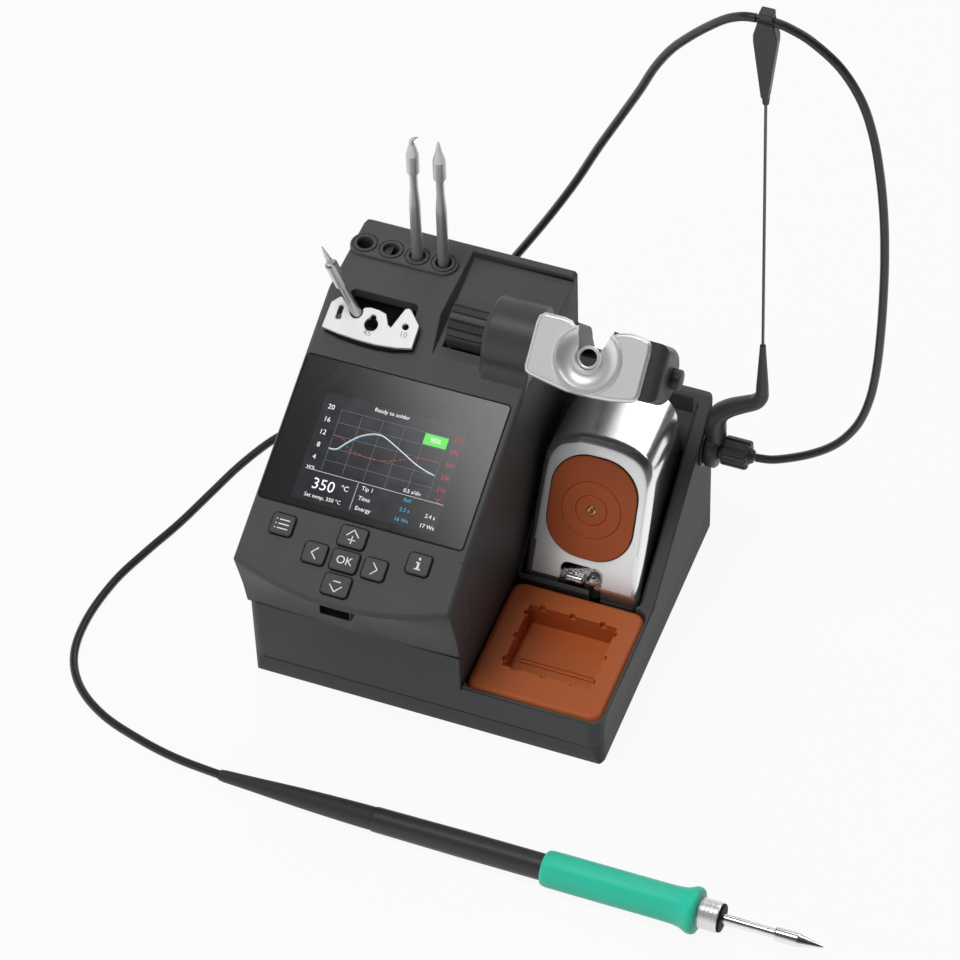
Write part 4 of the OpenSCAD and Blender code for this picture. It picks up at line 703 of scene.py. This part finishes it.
def guardForm(t):
    # the guard's outside, made smaller all round by t
    half = [(x * (1 - t / guard["half"]), u * (1 - t / guard["tall"])) for x, u in smoothFlat(guard["outline"], 4)]
    face = half + [(-x, u) for x, u in reversed(half[:-1])]
    wide, foot, rear = guard["half"] - t, guard["foot"] - 3 * t, guard["rear"] - t
    mid, front = station["guardX"], station["guardY"] + t
    corner = guardCorner - faceNormal * t
    standing = [(x, station["guardZ"] + u * math.sin(lean)) for x, u in face] + [(-wide, foot), (wide, foot)]
    bm = outlineSolid(standing, 0, 100)
    bmesh.ops.transform(bm, matrix=shifted(mid, 140, 0) @ turned(90, "X"), verts=bm.verts)
    for point, side in ((corner, faceNormal), (Vector((0, front, 0)), Vector((0, -1, 0))),
            (Vector((0, rear, 0)), Vector((0, 1, 0)))):
        cut = bmesh.ops.bisect_plane(bm, geom=bm.verts[:] + bm.edges[:] + bm.faces[:], dist=1e-4, plane_co=point,
                plane_no=side, clear_outer=True, clear_inner=False)
        bmesh.ops.contextual_create(bm, geom=[g for g in cut["geom_cut"] if isinstance(g, bmesh.types.BMEdge)])
    bmesh.ops.recalc_face_normals(bm, faces=bm.faces)
    bmesh.ops.dissolve_limit(bm, angle_limit=math.radians(0.2), use_dissolve_boundaries=False, verts=bm.verts,
            edges=bm.edges, delimit={"NORMAL"})

    def turnedEdge(v):
        return v.co.y < front + 0.05 or abs((v.co - corner).dot(faceNormal)) < 0.05

    roundEdges(bm, guard["side"] - t, 6, lambda e: e.calc_face_angle(0) > 0.3 and all(turnedEdge(v) for v in e.verts)
            and max(v.co.z for v in e.verts) > foot + 1)
    plan = roundRect(mid - wide - 1e-3, 40, mid + wide + 1e-3, rear - 1e-3, guard["rearRound"] - t, steps=10)
    return combine(bm, outlineSolid(plan, 0, 100), "INTERSECT")


bm = guardForm(0)
for shape, depth in (("hole", 8), ("notch", 12)):
    tool = outlineSolid(roundRect(*guard[shape], steps=10), -depth, 6)
    bmesh.ops.transform(tool, matrix=faceFromStation, verts=tool.verts)
    bm = combine(bm, tool, "DIFFERENCE")
bm = combine(bm, guardForm(guard["sheet"]), "DIFFERENCE")
# the flat face takes the whiter copy of the chrome: painted reflection of bright surroundings on the face
for face in bm.faces:
    face.material_index = int(abs((face.calc_center_median() - guardCorner).dot(faceNormal)) < 0.06)
tipGuard = addPiece("tipGuard", bm, stationFrame, "chrome", "guard", ["tip_guard"], 28)
tipGuard.data.materials.append(finish["paintedReflectionFace"])

# Membrane with its rings, the brass eyelet in its middle and the wiper under it
membrane = {"outline": (-18.15, 14, 18.15, 59, 15.6), "proud": 1.2, "middle": 36, "rings": [12.5, 6.5], "groove": 0.28,
        "edge": 0.5, "line": 0.4}
bm = outlineSolid(roundRect(*membrane["outline"], steps=14), 0.05, membrane["proud"])
roundEdges(bm, membrane["edge"], 3, topEdges(membrane["proud"], 20))
for radius in membrane["rings"]:
    g, h = membrane["groove"], membrane["proud"]
    tool = lathe([(radius - g, h + 0.2), (radius - g, h), (radius, h - 0.4), (radius + g, h), (radius + g, h + 0.2),
            (radius - g, h + 0.2)], 72)
    bm = combine(bm, moved(tool, 0, membrane["middle"]), "DIFFERENCE")
addPiece("membraneSheet", bm, faceFrame, "membrane", "guard", ["membrane"], 35)
x0, u0, x1, u1, corner = membrane["outline"]
g = membrane["line"]
bm = outlineSolid(roundRect(x0 - g, u0 - g, x1 + g, u1 + g, corner + g, 14), 0.02, 0.3)
addPiece("membraneLine", bm, faceFrame, "black", "guard")
eyelet = {"radius": 2.1, "hole": 0.55}
bm = lathe([(eyelet["hole"], 0.9), (eyelet["hole"], 1.45), (0.9, 1.75), (1.4, 1.8), (1.85, 1.55), (eyelet["radius"], 1.1),
        (eyelet["hole"], 0.9)], 32)
addPiece("membraneEyelet", bm, faceFrame @ shifted(0, membrane["middle"], 0), "brass", "guard")
wiper = {"plate": (-8.8, -3.5, 8.2, 9.6, 2.4), "low": -2.2, "high": -1.3, "edge": 0.25, "roll": (-6.9, 3.9, 1.75),
        "screw": (4.6, 5.2, 2.5), "slot": (-3, -0.3, 3, 0.3), "slotTurn": 0.6}
bm = outlineSolid(roundRect(*wiper["plate"]), wiper["low"], wiper["high"])
roundEdges(bm, wiper["edge"], 2, topEdges(wiper["high"]))
addPiece("wiperPlate", bm, faceFrame, "anodised", "guard", ["wiper_bar"])
rollX, rollU, r = wiper["roll"]
bm = lathe([(0, 0), (r * 0.5, 0), (r * 0.85, 0.15), (r, 0.7), (r, 2.8), (r * 0.82, 3.1), (r * 0.82, 4.6), (r, 4.9), (r, 7),
        (r * 0.85, 7.6), (r * 0.5, 7.8), (0, 7.8)], 40)
addPiece("wiperRoll", bm, faceFrame @ shifted(rollX, rollU, 0.3) @ turned(90, "Y"), "bright", "guard")
screwX, screwU, r = wiper["screw"]
bm = lathe([(0, 1.35), (0.6, 1.35), (0.75, 1.75), (r * 0.75, 1.6), (r * 0.95, 1.2), (r, 0.7), (r, -1.2), (0, -1.2)], 40)
tool = outlineSolid(rectangle(*wiper["slot"]), 1.1, 3)
bmesh.ops.rotate(tool, cent=(0, 0, 0), matrix=Matrix.Rotation(wiper["slotTurn"], 3, "Z"), verts=tool.verts)
bm = combine(bm, tool, "DIFFERENCE")
addPiece("wiperScrew", bm, faceFrame @ shifted(screwX, screwU, 0), "bright", "guard", ["wiper_screw"], 35)
print("guard made")

# Silicone tray with its notched recess
tray = {
    "outer": (16.3, 0.4, 73.5, 59.4, 5.5), "low": 15.2, "high": 27, "floor": 16, "edge": 3,
    "recess": (27, 15.4, 64, 48.4), "notch": (2.2, 1.1), "rim": 2.6, "inset": 0.1, "corner": 1.2,
    "ridges": [27.4, 29.3], "ridge": (29, 62, 0.35, 0.3), "rimEdge": 0.3, "around": (24, 12, 67, 52),
    "right": [19.2, 32.2, 45], "left": [19.2, 31.8, 44.3], "front": [32.4, 44.8, 57.2], "rear": [32, 45, 58],
}


def notchedOutline():
    # the rim of the recess with small notches along each side, anticlockwise from its front left corner
    rx0, ry0, rx1, ry1 = tray["recess"]
    wide, deep = tray["notch"]
    h, points = wide / 2, []
    for cx, cy, dx, dy, places in ((rx0, ry0, 1, 0, tray["front"]), (rx1, ry0, 0, 1, tray["right"]),
            (rx1, ry1, -1, 0, reversed(tray["rear"])), (rx0, ry1, 0, -1, reversed(tray["left"]))):
        points.append((cx, cy))
        for place in places:
            x, y = (place, cy) if dx else (cx, place)
            points += [(x - dx * h, y - dy * h), (x - dx * h + dy * deep, y - dy * h - dx * deep),
                    (x + dx * h + dy * deep, y + dy * h - dx * deep), (x + dx * h, y + dy * h)]
    return points


bm = outlineSolid(roundRect(*tray["outer"]), tray["low"], tray["high"])
roundEdges(bm, tray["edge"], 5, topEdges(tray["high"]))
rx0, ry0, rx1, ry1 = tray["recess"]
t, above = tray["inset"], tray["high"] + 5
recess = roundRect(rx0 + t, ry0 + t, rx1 - t, ry1 - t, tray["corner"], 4)
bm = combine(bm, outlineSolid(recess, tray["floor"], above), "DIFFERENCE")
bm = combine(bm, outlineSolid(notchedOutline(), tray["high"] - tray["rim"], above), "DIFFERENCE")
x0, y0, x1, y1 = tray["around"]
rimEdge = topEdges(tray["high"], 60)
roundEdges(bm, tray["rimEdge"], 2, lambda e: rimEdge(e) and all(x0 < v.co.x < x1 and y0 < v.co.y < y1 for v in e.verts))
left, right, half, corner = tray["ridge"]
for y in tray["ridges"]:
    ridge = roundRect(left, y - half, right, y + half, corner, 3)
    bm = combine(bm, outlineSolid(ridge, tray["floor"] - 0.3, tray["floor"] + 0.5), "UNION")
addPiece("siliconeTray", bm, stationFrame, "silicone", "tray", ["silicone_tray"], 35)
print("tray made")

# Tool holder: barrel bracket, ribbed knob, head and its bright plate
bracket = {"x0": -5, "x1": 15.7, "radius": 15.5, "edges": [("x0", 2.4, 5), ("x1", 0.8, 3)], "above": 119,
        "skirt": [(74.9, 119.2), (76.6, 120.6), (78.6, 121.9), (80.1, 124.1), (80.85, 126.6)]}
outline = list(bracket["skirt"])
for k in range(37):
    a = math.pi * (1 - k / 36)
    outline.append((station["axisY"] + bracket["radius"] * math.cos(a), station["axisZ"] + bracket["radius"] * math.sin(a)))
outline += [(112.2, 124.2), (112.2, 118), (76, 117)]
bm = outlineSolid(outline, bracket["x0"], bracket["x1"])
for end, width, steps in bracket["edges"]:
    atEnd = topEdges(bracket[end])
    roundEdges(bm, width, steps, lambda e: atEnd(e) and min(v.co.y for v in e.verts) > bracket["above"])
sideways = Matrix(((0, 0, 1, 0), (1, 0, 0, 0), (0, 1, 0, 0), (0, 0, 0, 1)))    # outline (y, z) drawn along x
addPiece("holderBracket", bm, stationFrame @ sideways, "bracket", "root", ["holder_bracket"], 40)

knob = {"x0": -21.3, "x1": -5.3, "radius": 9.8, "groove": 0.75, "ribs": 18}
bm = outlineSolid(lobed(knob["radius"], knob["groove"], knob["ribs"]), knob["x0"], knob["x1"])
roundEdges(bm, 0.7, 3, topEdges(knob["x0"]))
roundEdges(bm, 0.4, 2, topEdges(knob["x1"]))
addPiece("holderKnob", bm, axisFrame, "dark", "knob", ["holder_knob"], 50)
bore = {"x": 39.7, "u": -0.5}
boreFrame = holderFrame @ shifted(bore["x"], bore["u"], 0)
head = {"radius": 11.75, "x0": 16.3, "x1": 70.2, "front": 17.9, "end": 4.2, "nub": (4.3, 74),
        "slot": [(-4.6, 0), (-5.4, 4.6), (-6.8, 8.4), (-7.8, 30), (8.8, 30), (7.2, 9.8), (5.8, 6.6), (4.6, 4.2), (4.4, 0)]}
r = head["radius"]
outline = [(r * math.cos(a), r * math.sin(a)) for a in (math.pi * (1 + k / 32) for k in range(33))]
outline += [(r, head["front"]), (-r, head["front"])]
bm = outlineSolid(outline, head["x0"], head["x1"])
roundEdges(bm, head["end"], 7, topEdges(head["x1"], 20))
roundEdges(bm, 0.6, 3, topEdges(head["x0"], 20))
nubRadius, nubEnd = head["nub"]
nub = lathe([(0, 60), (nubRadius, 60), (nubRadius, nubEnd - 0.9), (nubRadius - 0.25, nubEnd - 0.3),
        (nubRadius - 0.9, nubEnd), (0, nubEnd)], 48)
bm = combine(bm, nub, "UNION")
bmesh.ops.transform(bm, matrix=sideways, verts=bm.verts)
bm = combine(bm, outlineSolid([(bore["x"] + x, bore["u"] + u) for x, u in head["slot"]], -30, 40), "DIFFERENCE")
addPiece("holderHead", bm, holderFrame, "key", "holder", ["holder_head"], 30)
# a near-black tube lining the bore: painted shade that keeps the bore dark inside
liner = lathe([(3.25, -10.6), (4.55, -10.6), (4.55, 17.7), (3.25, 17.7), (3.25, -10.6)], 48)
addPiece("boreShadowLiner", liner, boreFrame, "black", "holder")
mouth = lathe([(3.3, 17.2), (4.7, 17.2), (4.7, 17.9), (4.4, 18.25), (3.9, 18.3), (3.5, 18.05), (3.3, 17.6), (3.3, 17.2)], 48)
addPiece("boreMouth", mouth, boreFrame, "castAndHighlight", "holder")

plate = {
    "outline": [(15.9, 8.2), (16.5, 10.9), (18.5, 12.4), (26.6, 12.5), (30, 11.8), (32.4, 9.9), (45.9, 9.6), (49.4, 11.9),
        (54.1, 12.8), (58.9, 12.5), (61.9, 11.5), (63.1, 10.1), (63.5, 7), (63.5, -9.8), (62.9, -12),
        (61.1, -13.3), (56.6, -14.3), (52.2, -15.05), (45.2, -15.55), (39.3, -15.7), (34.2, -15.6),
        (26.75, -14.4), (18.6, -12.9), (16.5, -11.8), (15.8, -9.6)],
    "back": 17.6, "face": 19.5, "edge": 1.6, "ring": 13.9,
    "funnel": [(4.7, 10), (4.7, 18.3), (5.3, 18.75), (5.9, 18.6), (6.3, 18), (7.4, 17.9), (9.4, 18.35), (11.2, 19.3),
        (12.2, 20.2), (12.45, 25), (0, 25), (0, 10), (4.7, 10)],
    "slot": [(-4.4, 0.5), (-5.3, 4.6), (-6.6, 8.4), (-7.6, 20), (8.4, 20), (6.9, 9.8), (5.6, 6.6), (4.4, 4.2), (3.9, 0.5)],
}
bm = outlineSolid(list(reversed(plate["outline"])), plate["back"], plate["face"])
roundEdges(bm, plate["edge"], 6, topEdges(plate["face"]))
ring = lathe([(0, 18), (plate["ring"], 18), (plate["ring"], 19.9), (13.6, 20.3), (13.1, 20.45), (12.4, 20.4), (0, 20.4)], 96)
bm = combine(bm, moved(ring, bore["x"], bore["u"] - 0.9), "UNION")
bm = combine(bm, moved(lathe(plate["funnel"], 96), bore["x"], bore["u"] - 0.3), "DIFFERENCE")
bm = combine(bm, outlineSolid([(bore["x"] + x, bore["u"] + u) for x, u in plate["slot"]], 10, 26), "DIFFERENCE")
# faces that don't face straight out (edge, ring and funnel) take the brighter cast finish: painted highlight
for face in bm.faces:
    face.material_index = 0 if face.normal.z > 0.999 and face.calc_center_median().z < plate["face"] + 0.1 else 1
holderPlate = addPiece("holderPlate", bm, holderFrame, "plate", "holder", ["holder_plate"], 30)
holderPlate.data.materials.append(finish["castAndHighlight"])
print("holder made")

# Plug, its fluted nut, the collector's arm and clip
nut = {"x0": 83, "x1": 93.7, "radius": 6.15, "groove": 0.8, "flutes": 10}
bm = outlineSolid(lobed(nut["radius"], nut["groove"], nut["flutes"], 0.6, 14), nut["x0"], nut["x1"])
roundEdges(bm, 0.5, 3, topEdges(nut["x0"]))
roundEdges(bm, 0.9, 3, topEdges(nut["x1"]))
addPiece("plugNut", bm, socketFrame, "dark", "plug_ring", ["plug_nut"], 50)
softCopy("plug_body", "plugBody", "dark", 0.4, sharpFrom=30)
softCopy("tool_socket", "toolSocket", "anodised", 0.3)
arm = {
    "line": [(79.2, 66), (79.2, 72), (79.3, 77), (81.2, 82.4), (85.6, 87), (91, 90.8), (95.8, 94.2), (97.9, 98),
        (98.15, 101.5)],
    "radii": [4.6, 4.6, 4.5, 4.3, 4, 3.7, 3.5, 3.1, 2.6], "flat": 0.94,
    "ring": [(4.5, 76.3), (7.6, 76.3), (8.4, 77.2), (8.5, 78.5), (8.5, 79.7), (8.4, 80.7), (7.6, 81.5), (4.5, 81.5),
        (4.5, 76.3)],
    "sleeve": [(0.7, -2), (2.2, -2), (2.6, 0), (2.5, 4), (2.2, 9), (1.2, 27.2), (0.95, 27.6), (0.7, 27.6), (0.7, -2)],
}
bm = sweptTube(smoothFlat(arm["line"], 5), smoothRadii(arm["radii"], 5), 28, arm["flat"])
addPiece("collectorArm", bm, stationFrame @ shifted(0, station["socketY"], 0), "dark", "collector", ["collector_arm"], 40)
addPiece("collectorRing", lathe(arm["ring"], 56), socketFrame, "dark", "collector")
addPiece("collectorSleeve", lathe(arm["sleeve"], 40), rodFrame, "dark", "collector")
softCopy("collector_clip", "collectorClip", "dark", 0.7, 3, 25, 0.8, smoothTo=50)
print("collector made")

# Handle: relief, body, soft grip and nut
handle = {
    "relief": [(0, -66.8), (1.9, -66.8), (2.25, -66.2), (2.5, -64), (2.9, -54), (3.5, -42), (4.05, -30), (4.4, -20),
        (4.6, -12), (4.75, -4), (4.75, 0), (0, 0)],
    "body": [(0, 0), (4.5, 0), (4.95, 0.25), (5.1, 1), (5.4, 36), (5.4, 71), (5.2, 72), (0, 72)],
    "grip": [(0, 72.05), (5.9, 72.05), (6.7, 72.4), (7.15, 73.2), (7.35, 75), (7.4, 80), (7.4, 104), (7.4, 118),
        (7.45, 124), (7.6, 127.5), (8, 130), (8.8, 132), (9.35, 133.1), (9.5, 134.2), (9.35, 135.3), (8.8, 136.2),
        (8, 136.6), (0, 136.6)],
    "grooves": [137.6, 139.3, 141, 142.7],
    "end": [(2.35, 144.9), (5.75, 144.9), (5.75, 145.7), (5.4, 146.1), (2.35, 146.1), (2.35, 144.9)],
    "tip": [(0, 120), (2.2, 120), (2.2, 150), (2, 166.5), (1.95, 167.1), (2.7, 167.4), (2.85, 167.8), (2.85, 176.2),
        (2.7, 176.8), (1.9, 180.2), (1.3, 183), (0.85, 185), (0.3, 186.7), (0, 186.9)],
}
nutLine = [(2.35, 136.7), (6, 136.7)]
for z in handle["grooves"]:
    nutLine += [(6.1, z), (5.95, z + 0.15), (5.95, z + 0.45), (6.1, z + 0.6)]
nutLine += [(6.1, 144.6), (5.9, 145), (2.35, 145), (2.35, 136.7)]
addPiece("handleRelief", lathe(handle["relief"], 56), handleFrame, "rubber", "root", ["handle_relief"])
addPiece("handleBody", lathe(handle["body"], 56), handleFrame, "dark", "root", ["handle_body"])
addPiece("handleGrip", lathe(handle["grip"], 72), handleFrame, "green", "root", ["handle_grip"], 50)
addPiece("handleNut", lathe(nutLine, 64), handleFrame, "castAndHighlight", "front_nut", ["handle_nut"], 30)
addPiece("handleNutEnd", lathe(handle["end"], 64), handleFrame, "black", "front_nut")
addPiece("handleCartridge", lathe(handle["tip"], 48), handleFrame, "bright", nodes["handle_cartridge"]["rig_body"],
        ["handle_cartridge"], 30)
print("handle made")

# Mains side at the rear, with soft moulded edges
for node, name in (("mains_inlet", "mainsInlet"), ("fuse_drawer", "fuseDrawer"), ("power_switch", "powerSwitch"),
        ("power_rocker", "powerRocker"), ("earth_socket", "earthSocket")):
    softCopy(node, name, "dark", 0.3, shortest=0.5)
print("rear dressed")

# Floor, world and lamps
floorLook = {"half": 6, "grey": 0.62, "rough": 0.9, "specular": 0.1, "glowShare": 0.93}
bm = bmesh.new()
bmesh.ops.create_grid(bm, x_segments=1, y_segments=1, size=floorLook["half"])
floorMesh = bpy.data.meshes.new("floor")
bm.to_mesh(floorMesh)
bm.free()
floor = addObject("floor", floorMesh)
floorMaterial = bpy.data.materials.new("paleFloor")
floorMaterial.use_nodes = True
tree = floorMaterial.node_tree
shader = tree.nodes["Principled BSDF"]
setInputs(shader, {"Base Color": (*[floorLook["grey"]] * 3, 1), "Roughness": floorLook["rough"],
        "Specular IOR Level": floorLook["specular"]})
glow = addNode(tree, "Emission", {"Color": (1, 1, 1, 1), "Strength": 1})
mix = addNode(tree, "MixShader")
paths = addNode(tree, "LightPath")
seen = (paths, "Is Camera Ray")    # white to the camera, to mirrors and through glass, grey to the light
for other in ("Is Glossy Ray", "Is Transmission Ray"):
    either = addNode(tree, "Math", operation="MAXIMUM")
    wire(tree, (*seen, either, 0), (paths, other, either, 1))
    seen = (either, 0)
share = addNode(tree, "Math", {1: floorLook["glowShare"]}, operation="MULTIPLY")
wire(tree, (*seen, share, 0), (share, 0, mix, "Fac"), (shader, "BSDF", mix, 1), (glow, "Emission", mix, 2),
     (mix, "Shader", tree.nodes["Material Output"], "Surface"))
floorMesh.materials.append(floorMaterial)

world = bpy.data.worlds.new("studio")
scene.world = world
world.use_nodes = True
tree = world.node_tree
direction = addNode(tree, "TexCoord")
split = addNode(tree, "SeparateXYZ")
sky = addNode(tree, "ValToRGB")
sky.color_ramp.interpolation = "EASE"
stops = sky.color_ramp.elements
stops[1].position = 0.62
stops.new(0.16)
for stop, grey in zip(stops, (1, 0.85, 0.06)):
    stop.color = (grey, grey, grey, 1)
sides = addNode(tree, "MapRange", {"From Min": -0.5, "From Max": 0.45, "To Min": 1, "To Max": 0.14},
        interpolation_type="SMOOTHSTEP")    # bright on the left, dim on the right
shade = addNode(tree, "Mix", {"Factor": 1}, data_type="RGBA", blend_type="MULTIPLY")
backdrop = tree.nodes["Background"]
setInputs(backdrop, {"Strength": 1})
wire(tree, (direction, "Generated", split, "Vector"), (split, "Z", sky, "Fac"), (split, "X", sides, "Value"),
     (sky, "Color", shade, "A"), (sides, "Result", shade, "B"), (shade, "Result", backdrop, "Color"))


def addLamp(name, place, aim, size, power, tall=None, glossy=True, diffuse=True, spin=0):
    data = bpy.data.lights.new(name, "AREA")
    data.shape = "RECTANGLE"
    data.size = size
    data.size_y = tall or size
    data.energy = power
    lamp = addObject(name, data)
    lamp.location = place
    lamp.rotation_mode = "QUATERNION"
    towards = (Vector(aim) - Vector(place)).to_track_quat("-Z", "Y")
    lamp.rotation_quaternion = towards @ Matrix.Rotation(spin, 3, "Z").to_quaternion()
    lamp.visible_glossy = glossy
    lamp.visible_diffuse = diffuse


middleOfStation = (0.06, 0.04, 0.08)
addLamp("rearLamp", (-0.3, 1.25, 1.45), middleOfStation, 1.6, 9, 0.75, glossy=False)
addLamp("glossLamp", (0.62, 1.25, 1.35), middleOfStation, 1.9, 11, 0.8, diffuse=False)
addLamp("topLamp", (-0.3, -0.3, 1.75), middleOfStation, 0.8, 20, glossy=False)
addLamp("frontLamp", (-0.4, -1.6, 0.9), middleOfStation, 1, 4, glossy=False)
addLamp("sheenLamp", (-0.135, -0.071, 1.6), (0.03, -0.02, 0.1), 0.5, 4.5, diffuse=False, spin=math.radians(18))
print("stage and lamps set")
